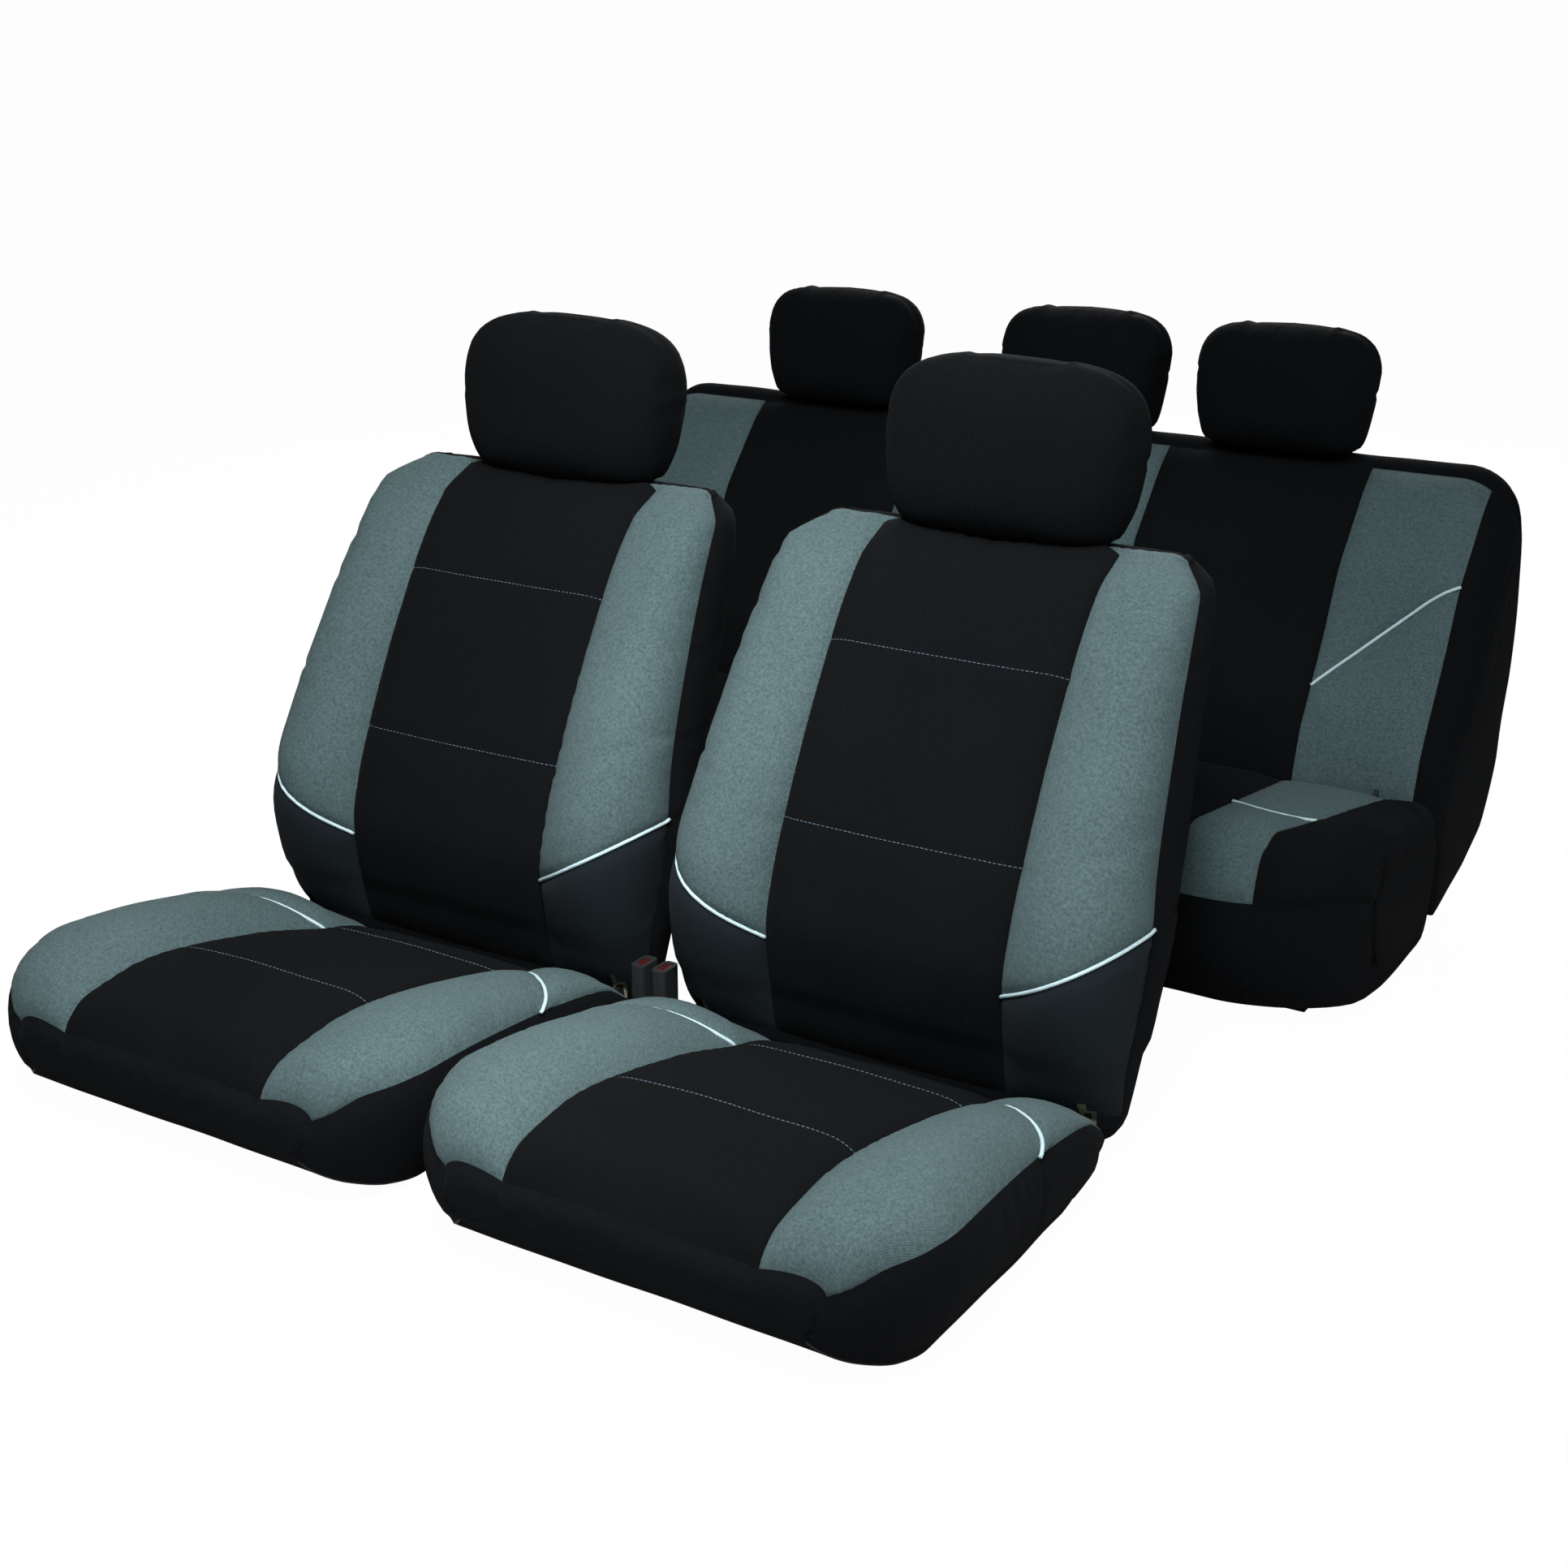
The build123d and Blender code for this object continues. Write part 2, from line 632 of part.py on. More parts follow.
def bench_covers(group, form, openings, outline, plane, line, rest):
    """Grey panels, black panels, piping and the remaining cover of one half of the bench."""
    first, second, third = bench_seams
    inner = form(cover)
    shell = hollow(form(0), inner, *openings)
    groove = diagonal(plane, *line, -half_bead - seam, half_bead + seam)
    bead_slab = diagonal(plane, *line, -half_bead, half_bead)
    outer_grey = between(outline, second, third)
    with BuildPart() as grey_zone:
        add(outer_grey)
        add(groove, mode=Mode.SUBTRACT)
        add(prism(Plane.YZ, outline, seam / 2 - first, first - seam / 2))
    write(panel(shell, grey_zone.part), f"{group}_grey_panels")
    write(panel(shell, between(outline, first, second)), f"{group}_black_panels")
    write(panel(hollow(form(-bead), inner), outer_grey, bead_slab), f"{group}_piping")
    sewn = prism(Plane.YZ, outline, -third - seam / 2, third + seam / 2)
    write(panel(shell, without=(sewn,)), f"{group}_{rest}")


bench_covers(
    "rear_cushion", bench_cushion, (bench_openings.part,), bench_cushion_zone, Plane.XY,
    bench_cushion_piping, "skirt"
)
bench_covers(
    "rear_backrest", bench_backrest, (fold_slots, rear_channels), bench_backrest_zone,
    Plane.XZ, bench_piping, "back_cover"
)

with BuildPart() as rear_cushion_foam:
    add(bench_cushion(foam_inset))
    with Locations((0, 650, 100)):  # nothing between the fold brackets
        Box(2 * bench_bracket_x + 40, 90, 300, mode=Mode.SUBTRACT)
    with Locations((0, 500, 10)):  # nothing below the base panel's upper face
        Box(2 * bench_half, 600, 60, mode=Mode.SUBTRACT)
write(rear_cushion_foam, "rear_cushion_foam")

with BuildPart() as rear_backrest_foam:
    add(bench_backrest(foam_inset))
    add(fold_slots, mode=Mode.SUBTRACT)
    add(rear_channels, mode=Mode.SUBTRACT)
write(rear_backrest_foam, "rear_backrest_foam")

# Base frame of the bench: two runners, two cross members, a panel and the fold brackets
runner_x, runner_width, base_height = 560.0, 40.0, 36.0
base_front, base_rear = 450.0, 640.0
hinge_near, hinge_far = bench_bracket_x - 3, bench_bracket_x + 3
hinge_arm = (
    (base_rear - 40, 14),
    (fold_y - 31, 14),
    (fold_y - 31, fold_z - 22),
    (fold_y, fold_z - 22),
    (fold_y, fold_z + 20),
    (base_rear, 165),
    (base_rear - 40, 60),
)
base_length, base_middle = base_rear - base_front, (base_front + base_rear) / 2
on_foot = (Align.CENTER, Align.CENTER, Align.MIN)
member_z, member_width, base_panel = 14.0, 20.0, 3.0
with BuildPart() as rear_cushion_frame:
    with Locations((-runner_x, base_middle, 0), (runner_x, base_middle, 0)):
        Box(runner_width, base_length, base_height, align=on_foot)
    with Locations((0, base_middle, base_height)):
        Box(2 * runner_x + runner_width, base_length, base_panel, align=on_foot)
    with Locations((0, base_front + 15, member_z), (0, base_rear - 15, member_z)):
        Box(2 * runner_x, member_width, base_height - member_z, align=on_foot)
    add(both_sides(prism(Plane.YZ, hinge_arm, hinge_near, hinge_far)))
    add(both_sides(rod(Plane.YZ, bracket_r, hinge_near, hinge_far, (fold_y, fold_z))))
    add(
        both_sides(
            rod(Plane.YZ, pin_r + running_gap, hinge_near - 1, hinge_far + 1, (fold_y, fold_z))
        ),
        mode=Mode.SUBTRACT,
    )
write(rear_cushion_frame, "rear_cushion_frame")

# Backrest frame of the bench: a hoop, a lower cross tube, hinge plates with pins, sleeves
hoop_x, hoop_foot, hoop_top = 548.0, (760.0, 190.0), (rear_post_y - 12, 500.0)
plate_near, plate_far = hoop_x - 6, hoop_x + 6
sleeve_top = 552.0
hinge_plate = ((fold_y - 12, fold_z - 12), (fold_y, fold_z + 16), (770, 200), (770, 176))
with BuildPart() as rear_backrest_frame:
    with BuildLine() as hoop:
        FilletPolyline(
            (-hoop_x, *hoop_foot), (-hoop_x, *hoop_top), (hoop_x, *hoop_top), (hoop_x, *hoop_foot),
            radius=60,
        )
    with BuildSketch(Plane(origin=hoop.line @ 0, z_dir=hoop.line % 0)):
        Circle(tube_r)
    sweep()
    add(rod(Plane.YZ, tube_r, -hoop_x, hoop_x, hoop_foot))
    add(both_sides(rod(Plane.YZ, pin_r, plate_near, hinge_far + 3, (fold_y, fold_z))))
    add(both_sides(prism(Plane.YZ, hinge_plate, plate_near, plate_far)))
    add(rod(rear_post_plane, sleeve_r, sleeve_top - sleeve_length, sleeve_top, *rear_post_places))
    add(
        rod(rear_post_plane, post_r + running_gap, rear_post_foot, 600, *rear_post_places),
        mode=Mode.SUBTRACT,
    )
write(rear_backrest_frame, "rear_backrest_frame")


# -------------------------------------------------------------------------------- buckle
stalk_near, stalk_far, stalk_r = buckle_x - 2, buckle_x + 2, 9.0
stalk_top = buckle_foot_z + 6
stalk_outline = (
    (buckle_pin_y - stalk_r, buckle_pin_z),
    (buckle_y - stalk_r, stalk_top),
    (buckle_y + stalk_r, stalk_top),
    (buckle_pin_y + stalk_r, buckle_pin_z),
)
buckle_pin = (buckle_pin_y, buckle_pin_z)
with BuildPart() as buckle:
    with Locations((buckle_x, buckle_y, buckle_foot_z + buckle_height / 2)):
        Box(buckle_width, buckle_depth, buckle_height)
    fillet(buckle.edges().filter_by(Axis.Z), radius=6)
    add(prism(Plane.YZ, stalk_outline, stalk_near, stalk_far))
    add(rod(Plane.YZ, stalk_r, stalk_near, stalk_far, buckle_pin))
    add(
        rod(Plane.YZ, buckle_pin_r + running_gap, stalk_near - 18, stalk_far + 18, buckle_pin),
        mode=Mode.SUBTRACT,
    )
    with Locations((buckle_x, buckle_y, buckle_foot_z + buckle_height)):
        pocket = button_width + 2 * button_gap, button_depth + 2 * button_gap
        Box(*pocket, 2 * (button_height + button_travel + button_play), mode=Mode.SUBTRACT)
write_pair(buckle, "buckle", handed=True)

with BuildPart() as buckle_button:
    with Locations((buckle_x, buckle_y, buckle_foot_z + buckle_height - button_height / 2)):
        Box(button_width, button_depth, button_height)
    fillet(buckle_button.edges().group_by(Axis.Z)[-1], radius=1.2)
write_pair(buckle_button, "buckle_button", handed=True)
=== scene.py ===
import json
import math

import bpy
import numpy as np
from mathutils import Matrix, Vector


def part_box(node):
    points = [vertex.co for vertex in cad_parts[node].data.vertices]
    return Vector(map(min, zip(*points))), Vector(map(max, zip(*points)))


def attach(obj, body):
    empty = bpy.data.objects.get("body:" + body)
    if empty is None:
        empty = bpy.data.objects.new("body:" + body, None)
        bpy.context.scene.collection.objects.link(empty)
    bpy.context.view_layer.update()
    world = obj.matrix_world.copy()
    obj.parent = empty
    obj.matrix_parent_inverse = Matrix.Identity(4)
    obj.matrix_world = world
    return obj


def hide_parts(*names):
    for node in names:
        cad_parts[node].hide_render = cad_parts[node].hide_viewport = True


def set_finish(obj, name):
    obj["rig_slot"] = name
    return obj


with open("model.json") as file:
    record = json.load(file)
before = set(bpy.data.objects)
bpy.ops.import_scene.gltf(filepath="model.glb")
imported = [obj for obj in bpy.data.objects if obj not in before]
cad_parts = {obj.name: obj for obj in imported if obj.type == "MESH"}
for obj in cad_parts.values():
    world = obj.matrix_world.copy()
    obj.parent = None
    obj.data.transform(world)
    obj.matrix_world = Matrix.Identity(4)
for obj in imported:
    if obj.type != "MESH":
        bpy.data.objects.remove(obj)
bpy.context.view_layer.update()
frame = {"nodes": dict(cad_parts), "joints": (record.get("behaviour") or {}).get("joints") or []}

# Looks of a set of sewn seat covers on two front seats and a rear bench. Lengths in this script
# are in millimetres until a mesh is made. A front seat is shaped once, about its own middle
# plane, and placed at both seats; depth y grows towards the rear and height z upwards.
MM = 0.001
SIDES = ("left", "right")
PLACES = ("left", "middle", "right")

joints = {j["name"]: Vector(j["pos_m"]) / MM for j in frame["joints"] if "pos_m" in j}
seat_at = {side: joints[f"{side}_recline"] * Vector((1, 1, 0)) for side in SIDES}
HINGE_Y = 715.0  # the bench's hinge, in the depths that the bench is shaped in
bench_at = Vector((0, joints["rear_backrest_fold"].y - HINGE_Y, 0))

THICK = 3.4  # sewn panel
FOAM_INSET = 7.0
UNEVEN = 0.5  # slow waviness of padded panels
SETTLE_LIMIT = 5.0  # how far the cloth simulation may move a panel
CORD_R, CORD_LIFT = 2.1, 2.3  # piping, and how proud of its seam it stands
CENTRE = 139.0  # half width of a seat's black middle panel
POST_X, POST_R, POST_GAP = 75.0, 6.0, 11.0  # front posts, and the opening round any post
BRACKET_X = 229.0  # recliner brackets


# ------------------------------------------------------------------------------ curves
def smooth(stations, values, at):
    """Monotone cubic curve through the stations, read at the given places."""
    x, y = np.asarray(stations, float), np.asarray(values, float)
    step = np.diff(x)
    slope = np.diff(y) / step
    tangent = np.zeros(len(x))
    tangent[0], tangent[-1] = slope[0], slope[-1]
    same = slope[:-1] * slope[1:] > 0
    pair = np.where(same, slope[:-1] + slope[1:], 1)
    tangent[1:-1] = np.where(same, 2 * slope[:-1] * slope[1:] / pair, 0)
    at = np.clip(at, x[0], x[-1])
    k = np.clip(np.searchsorted(x, at, side="right") - 1, 0, len(step) - 1)
    t, h = (at - x[k]) / step[k], step[k]
    rise = t * t * (3 - 2 * t)
    return (
        y[k] * (1 - rise)
        + y[k + 1] * rise
        + h * (t * (1 - t) ** 2 * tangent[k] - t * t * (1 - t) * tangent[k + 1])
    )


def spread(count, tight=0.55):
    """Places from 0 to 1, closer together towards both ends."""
    k = np.linspace(0, 1, count + 1)
    return (1 - tight) * k + tight * (0.5 - 0.5 * np.cos(np.pi * k))


def chain(anchors, counts, tight=0.55):
    """Runs of places between neighbouring anchors. Anchors may hold one value per column."""
    anchors = [np.asarray(a, float) for a in anchors]
    rows = [
        low + (high - low) * t
        for low, high, count in zip(anchors, anchors[1:], counts)
        for t in spread(count, tight)[:-1]
    ]
    return np.array(rows + [anchors[-1]])


def marks(counts, start=0):
    """Index of each anchor in a chain."""
    return [start + int(n) for n in np.cumsum([0, *counts])]


def lengths(path):
    """Distance along a path at each of its points."""
    return np.concatenate([[0], np.cumsum(np.linalg.norm(np.diff(path, axis=0), axis=1))])


def rounded(path, radius):
    """Dense closed curve along a polyline, with its corners rounded."""
    path = np.array(path, float)
    s = lengths(path)
    at = np.arange(0, s[-1], 1.0)
    dense = np.stack([np.interp(at, s, path[:, k]) for k in (0, 1)], 1)
    reach = int(3 * radius)
    kernel = np.exp(-0.5 * (np.arange(-reach, reach + 1) / radius) ** 2)
    kernel /= kernel.sum()
    ring = np.concatenate([dense[-reach:], dense, dense[:reach]])
    return np.stack([np.convolve(ring[:, k], kernel, "valid") for k in (0, 1)], 1)


def ripple(points, wavelength, seed, count=8):
    """Smooth pseudo-random field of unit size over the points."""
    rng = np.random.default_rng(seed)
    total = np.zeros(points.shape[:-1])
    for _ in range(count):
        way = rng.normal(size=3)
        way *= 2 * math.pi / (wavelength * rng.uniform(0.7, 1.4)) / np.linalg.norm(way)
        total += np.sin(points @ way + rng.uniform(0, 2 * math.pi))
    return total / math.sqrt(count / 2)


# ------------------------------------------------------------------------- sewn forms
class Form:
    """A closed padded shape as a grid of rows and ring columns, with seams on grid lines."""

    def __init__(self, rings, mate, low_cap, high_cap):
        """mate pairs column i with column mate - i, which meet where a cap closes the ring."""
        self.main = low_cap[0]
        low = self.cap(rings[0], mate, *low_cap)[::-1]
        high = self.cap(rings[-1], mate, *high_cap)
        self.points = np.concatenate([low, rings, high])
        rows, cols = self.points.shape[:2]
        self.index = np.arange(rows * cols).reshape(rows, cols)
        self.last = self.main + len(rings) - 1
        self.partner = (mate - np.arange(cols)) % cols
        for row in (0, rows - 1):
            self.index[row] = np.minimum(self.index[row], self.index[row][self.partner])
        tips = np.nonzero(self.partner == np.arange(cols))[0]
        self.index[: self.main, tips] = self.index[self.main, tips]
        self.index[self.last + 1 :, tips] = self.index[self.last, tips]
        self.seam = np.zeros((rows, cols), bool)
        a, b = self.index[:-1], self.index[1:]
        self.quads = np.stack([a, np.roll(a, -1, 1), np.roll(b, -1, 1), b], -1)
        self.flip = self.volume() < 0
        if self.flip:
            self.quads = self.quads[..., ::-1]

    @staticmethod
    def cap(ring, mate, count, push):
        """Rows that round over an end ring and close it along its middle line."""
        partner = (mate - np.arange(len(ring))) % len(ring)
        middle = (ring + ring[partner]) / 2
        room = np.linalg.norm(ring - middle, axis=1)[:, None]
        rise = np.array(push) * (1 - np.exp(-room / 12))
        turn = np.linspace(0, math.pi / 2, count + 1)[1:, None, None]
        return ring + (middle - ring) * (1 - np.cos(turn)) + rise * np.sin(turn)

    def flat(self):
        return self.points.reshape(-1, 3)

    def volume(self):
        p = self.flat()
        a, b, c, d = (p[self.quads[..., k]].reshape(-1, 3) for k in range(4))
        return float((a * np.cross(b, c)).sum() + (a * np.cross(c, d)).sum()) / 6

    def normals(self):
        p = self.flat()
        a, b, c, d = (p[self.quads[..., k]] for k in range(4))
        face = np.cross(c - a, d - b)
        total = np.zeros_like(p)
        for k in range(4):
            np.add.at(total, self.quads[..., k].ravel(), face.reshape(-1, 3))
        length = np.linalg.norm(total, axis=1, keepdims=True)
        unit = total / np.maximum(length, 1e-9)
        return unit[self.index.ravel()].reshape(self.points.shape)

    def soft_normals(self):
        """Normals eased over the grid, for offsets that must not fold at the caps."""
        total = self.normals()
        for _ in range(6):
            rows = np.concatenate([total[:1], total, total[-1:]])
            total = 2 * total + np.roll(total, 1, 1) + np.roll(total, -1, 1) + rows[:-2] + rows[2:]
            total /= np.maximum(np.linalg.norm(total, axis=2, keepdims=True), 1e-9)
        return total.reshape(-1, 3)[self.index.ravel()].reshape(self.points.shape)

    def sew(self, rows, cols):
        """Marks a seam: a row or a slice of rows by a column or a list of columns."""
        cols = [c % self.points.shape[1] for c in np.atleast_1d(cols)]
        for c in cols:
            self.seam[rows, c] = True

    def away(self, mask=None):
        """Distance of every point from the nearest seam point."""
        seam = self.points[self.seam if mask is None else mask]
        points = self.flat()
        best = np.full(len(points), 1e9)
        for part in np.array_split(seam, max(1, len(seam) // 60)):
            gap = np.linalg.norm(points[:, None] - part[None], axis=2)
            best = np.minimum(best, gap.min(1))
        return best.reshape(self.points.shape[:2])

    def pad(self, bulge, groove, width=24.0):
        """Swells the panels between the seams and draws the seams in."""
        far = self.away()
        lift = bulge * (1 - np.exp(-((far / width) ** 2))) - groove * np.exp(-((far / 4.5) ** 2))
        lift += UNEVEN * ripple(self.points, 120.0, len(self.points)) * np.minimum(far / width, 1)
        self.points = self.points + self.normals() * lift[..., None]

    def crease(self, mask, depth):
        """A shallow channel along stitches."""
        far = self.away(mask)
        self.points = self.points - self.normals() * (depth * np.exp(-((far / 3.5) ** 2)))[..., None]

    def settle(self, held, limit=SETTLE_LIMIT, slack=0.03, pressure=4.0):
        """Cloth simulation under inner pressure with the seams and held points pinned."""
        scale, frames = 0.01, 20
        mesh = bpy.data.meshes.new("settle")
        used = np.unique(self.index)
        place = np.zeros(self.index.size, int)
        place[used] = np.arange(len(used))
        faces = [tuple(dict.fromkeys(q)) for q in place[self.quads].reshape(-1, 4).tolist()]
        start = self.flat()[used]
        mesh.from_pydata((start * scale).tolist(), [], faces)
        body = bpy.data.objects.new("settle", mesh)
        bpy.context.scene.collection.objects.link(body)
        pinned = (self.seam | held).ravel()[used]
        group = body.vertex_groups.new(name="held")
        group.add([int(i) for i in np.nonzero(pinned)[0]], 1.0, "REPLACE")
        cloth = body.modifiers.new("cloth", "CLOTH")
        cloth.settings.quality = 5
        cloth.settings.mass = 0.3
        cloth.settings.bending_stiffness = 1.5
        cloth.settings.vertex_group_mass = "held"
        cloth.settings.shrink_min = -slack
        cloth.settings.use_pressure = True
        cloth.settings.uniform_pressure_force = pressure
        cloth.settings.effector_weights.gravity = 0
        cloth.point_cache.frame_start, cloth.point_cache.frame_end = 1, frames
        for number in range(1, frames + 1):
            bpy.context.scene.frame_set(number)
        shown = body.evaluated_get(bpy.context.evaluated_depsgraph_get()).to_mesh()
        end = np.zeros(len(used) * 3)
        shown.vertices.foreach_get("co", end)
        moved = end.reshape(-1, 3) / scale - start
        size = np.linalg.norm(moved, axis=1, keepdims=True)
        moved *= limit * np.tanh(size / limit) / np.maximum(size, 1e-9)
        bpy.data.objects.remove(body)
        bpy.context.scene.frame_set(1)
        full = np.zeros((self.index.size, 3))
        full[used] = moved
        self.points = self.points + full[self.index.ravel()].reshape(self.points.shape)

    def weave(self, origin):
        """Arc lengths along the ring and along the rows, in metres, as texture coordinates."""
        p = np.roll(self.points, -origin, 1)
        cols = p.shape[1]
        step = np.linalg.norm(np.roll(p, -1, 1) - p, axis=2)
        u = np.concatenate([np.zeros((len(p), 1)), np.cumsum(step, 1)], 1)
        turned = u[:, -1:] * (np.arange(cols) >= cols // 2)
        return (u[:, :-1] - turned) * MM, (u[:, 1:] - turned) * MM, lengths(p[:, 0]) * MM


def sheet(name, form, keep, material, slot, origin=0, thick=THICK):
    """The chosen faces of a form as a sewn panel with thickness; keep is a face mask."""
    quads = form.quads[keep]
    cells = np.argwhere(keep)
    used, faces = np.unique(quads, return_inverse=True)
    faces = faces.reshape(-1, 4)
    outer, inward = form.flat()[used], form.soft_normals().reshape(-1, 3)[used]
    count = len(used)
    points = np.concatenate([outer, outer - inward * thick])
    u_left, u_right, v = form.weave(origin)
    cols = form.points.shape[1]
    polygons, coords = [], []
    edges = {}
    for quad, (r, c) in zip(faces.tolist(), cells.tolist()):
        k = (c - origin) % cols
        left, right = u_left[r : r + 2, k], u_right[r : r + 2, k]
        uv = [(left[0], v[r]), (right[0], v[r]), (right[1], v[r + 1]), (left[1], v[r + 1])]
        if form.flip:
            uv = uv[::-1]
        corners = {}
        for corner, place in zip(quad, uv):
            corners.setdefault(corner, place)
        ring, places = list(corners), list(corners.values())
        if len(ring) < 3:
            continue
        polygons.append(ring)
        coords += places
        polygons.append([i + count for i in reversed(ring)])
        coords += places[::-1]
        for k, a in enumerate(ring):
            b = ring[(k + 1) % len(ring)]
            if (b, a) in edges:
                del edges[(b, a)]
            else:
                edges[(a, b)] = (places[k], places[(k + 1) % len(ring)])
    for (a, b), (pa, pb) in edges.items():
        polygons.append([b, a, a + count, b + count])
        coords += [pb, pa, pa, pb]
    piece = solid(name, points, polygons, material, slot)
    layer = piece.data.uv_layers.new(name="Weave")
    layer.data.foreach_set("uv", np.array(coords, np.float32).ravel())
    rim = {tuple(sorted(e)) for a, b in edges for e in ((a, b), (a + count, b + count))}
    sharp = piece.data.attributes.new("sharp_edge", "BOOLEAN", "EDGE")
    sharp.data.foreach_set(
        "value", [tuple(sorted(e.vertices)) in rim for e in piece.data.edges]
    )
    return piece


def solid(name, points, polygons, material, slot):
    """A smooth-shaded mesh piece from points in millimetres."""
    mesh = bpy.data.meshes.new(name)
    mesh.from_pydata((np.asarray(points) * MM).tolist(), [], polygons)
    mesh.polygons.foreach_set("use_smooth", [True] * len(mesh.polygons))
    mesh.materials.append(material)
    mesh.update()
    piece = bpy.data.objects.new(name, mesh)
    bpy.context.scene.collection.objects.link(piece)
    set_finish(piece, slot)
    return piece


def core(name, form, material):
    """Foam inside a form, closed straight across its two end rings."""
    inner = form.points - form.soft_normals() * FOAM_INSET
    inner = inner[form.main : form.last + 1]
    rows, cols = inner.shape[:2]
    index = np.arange(rows * cols).reshape(rows, cols)
    a, b = index[:-1], index[1:]
    polygons = np.stack([a, np.roll(a, -1, 1), np.roll(b, -1, 1), b], -1).reshape(-1, 4).tolist()
    tip = int(np.nonzero(form.partner == np.arange(cols))[0][0])
    side = (tip + np.arange(cols // 2 + 1)) % cols
    for row, turn in ((0, -1), (-1, 1)):
        for i, j in zip(side[:-1], side[1:]):
            lid = index[row, [i, j, form.partner[j], form.partner[i]]].tolist()
            polygons.append(list(dict.fromkeys(lid))[::turn])
    if form.flip:
        polygons = [ring[::-1] for ring in polygons]
    return solid(name, inner.reshape(-1, 3), polygons, material, "seat_foam")


def tube(path, radius, sides=8, closed=False):
    """Points and faces of a round cord along a path."""
    path = np.asarray(path, float)
    ahead, behind = np.roll(path, -1, 0), np.roll(path, 1, 0)
    if not closed:
        ahead[-1], behind[0] = path[-1], path[0]
    along = ahead - behind
    along /= np.maximum(np.linalg.norm(along, axis=1, keepdims=True), 1e-9)
    up = np.cross(along, (0.31, 0.17, 0.93))
    up /= np.maximum(np.linalg.norm(up, axis=1, keepdims=True), 1e-9)
    side = np.cross(along, up)
    radius = np.broadcast_to(radius, len(path))[:, None]
    turn = np.arange(sides) * 2 * math.pi / sides
    rings = [path + radius * (up * math.cos(t) + side * math.sin(t)) for t in turn]
    points = np.stack(rings, 1).reshape(-1, 3)
    polygons = []
    for k in range(len(path) - (0 if closed else 1)):
        low, high = k * sides, (k + 1) % len(path) * sides
        for s in range(sides):
            t = (s + 1) % sides
            polygons.append([low + s, low + t, high + t, high + s])
    if not closed:
        polygons.append(list(range(sides))[::-1])
        polygons.append([len(points) - sides + s for s in range(sides)])
    return points, polygons


def joined(parts):
    """One list of points and faces from several."""
    points, polygons, base = [], [], 0
    for p, f in parts:
        points.append(p)
        polygons += [[i + base for i in face] for face in f]
        base += len(p)
    return np.concatenate(points), polygons


def resample(path, step):
    """Evenly spaced points along a path."""
    path = np.asarray(path, float)
    s = lengths(path)
    at = np.linspace(0, s[-1], max(2, int(round(s[-1] / step)) + 1))
    return np.stack([np.interp(at, s, path[:, k]) for k in range(3)], 1)


def ribbon(x, y, z, wide, deep):
    """Flat webbing along y, with its half width and half thickness at every station."""
    corners = (
        (-1, -0.6), (-0.96, -1), (0.96, -1), (1, -0.6),
        (1, 0.6), (0.96, 1), (-0.96, 1), (-1, 0.6),
    )
    rings = [np.stack([x + wide * a, y, z + deep * b], 1) for a, b in corners]
    points, count = np.stack(rings, 1).reshape(-1, 3), len(corners)
    polygons = [
        [low + s, low + (s + 1) % count, low + count + (s + 1) % count, low + count + s]
        for low in range(0, len(points) - count, count)
        for s in range(count)
    ]
    last = len(points) - count
    return points, polygons + [list(range(count))[::-1], [last + s for s in range(count)]]


def cord(name, form, runs, radius=CORD_R, lift=CORD_LIFT, material=None, slot="piping_cord"):
    """A cord sewn along runs of grid points: piping, unless a material is given."""
    normals = form.normals()
    parts = []
    for rows, cols in runs:
        path = form.points[rows, cols] + normals[rows, cols] * lift
        parts.append(tube(resample(path, 4.0), radius, 10))
    return solid(name, *joined(parts), material or PIPING, slot)


def stitches(name, form, runs, pitch=5.4, length=4.0, radius=0.55):
    """Thread: short raised stitches along runs of grid points."""
    normals = form.normals()
    taper = ((-0.5, 0.25), (-0.36, 0.85), (0, 1), (0.36, 0.85), (0.5, 0.25))  # place, thickness
    along, thick = np.array(taper).T
    parts = []
    for rows, cols in runs:
        path = form.points[rows, cols] + normals[rows, cols] * 0.25
        fine = resample(path, pitch)
        for a, b in zip(fine[:-1], fine[1:]):
            way = (b - a) / np.linalg.norm(b - a)
            places = (a + b) / 2 + way * length * along[:, None]
            parts.append(tube(places, radius * thick, 6))
    return solid(name, *joined(parts), THREAD, "piping_cord")


# --------------------------------------------------------------------------- materials
def shader(name, roughness, metallic=0.0):
    material = bpy.data.materials.new(name)
    material.use_nodes = True
    nodes, links = material.node_tree.nodes, material.node_tree.links
    principled = nodes["Principled BSDF"]
    principled.inputs["Roughness"].default_value = roughness
    principled.inputs["Metallic"].default_value = metallic
    return material, nodes, links, principled


def operate(nodes, links, kind, a, b=None):
    node = nodes.new("ShaderNodeMath")
    node.operation = kind
    for slot, value in enumerate((a, b)):
        if isinstance(value, (int, float)):
            node.inputs[slot].default_value = value
        elif value is not None:
            links.new(value, node.inputs[slot])
    return node.outputs[0]


def noise(nodes, links, scale, detail=2.0):
    coordinate = nodes.new("ShaderNodeTexCoord")
    texture = nodes.new("ShaderNodeTexNoise")
    texture.inputs["Scale"].default_value = scale
    texture.inputs["Detail"].default_value = detail
    links.new(coordinate.outputs["Object"], texture.inputs["Vector"])
    return texture.outputs["Fac"]


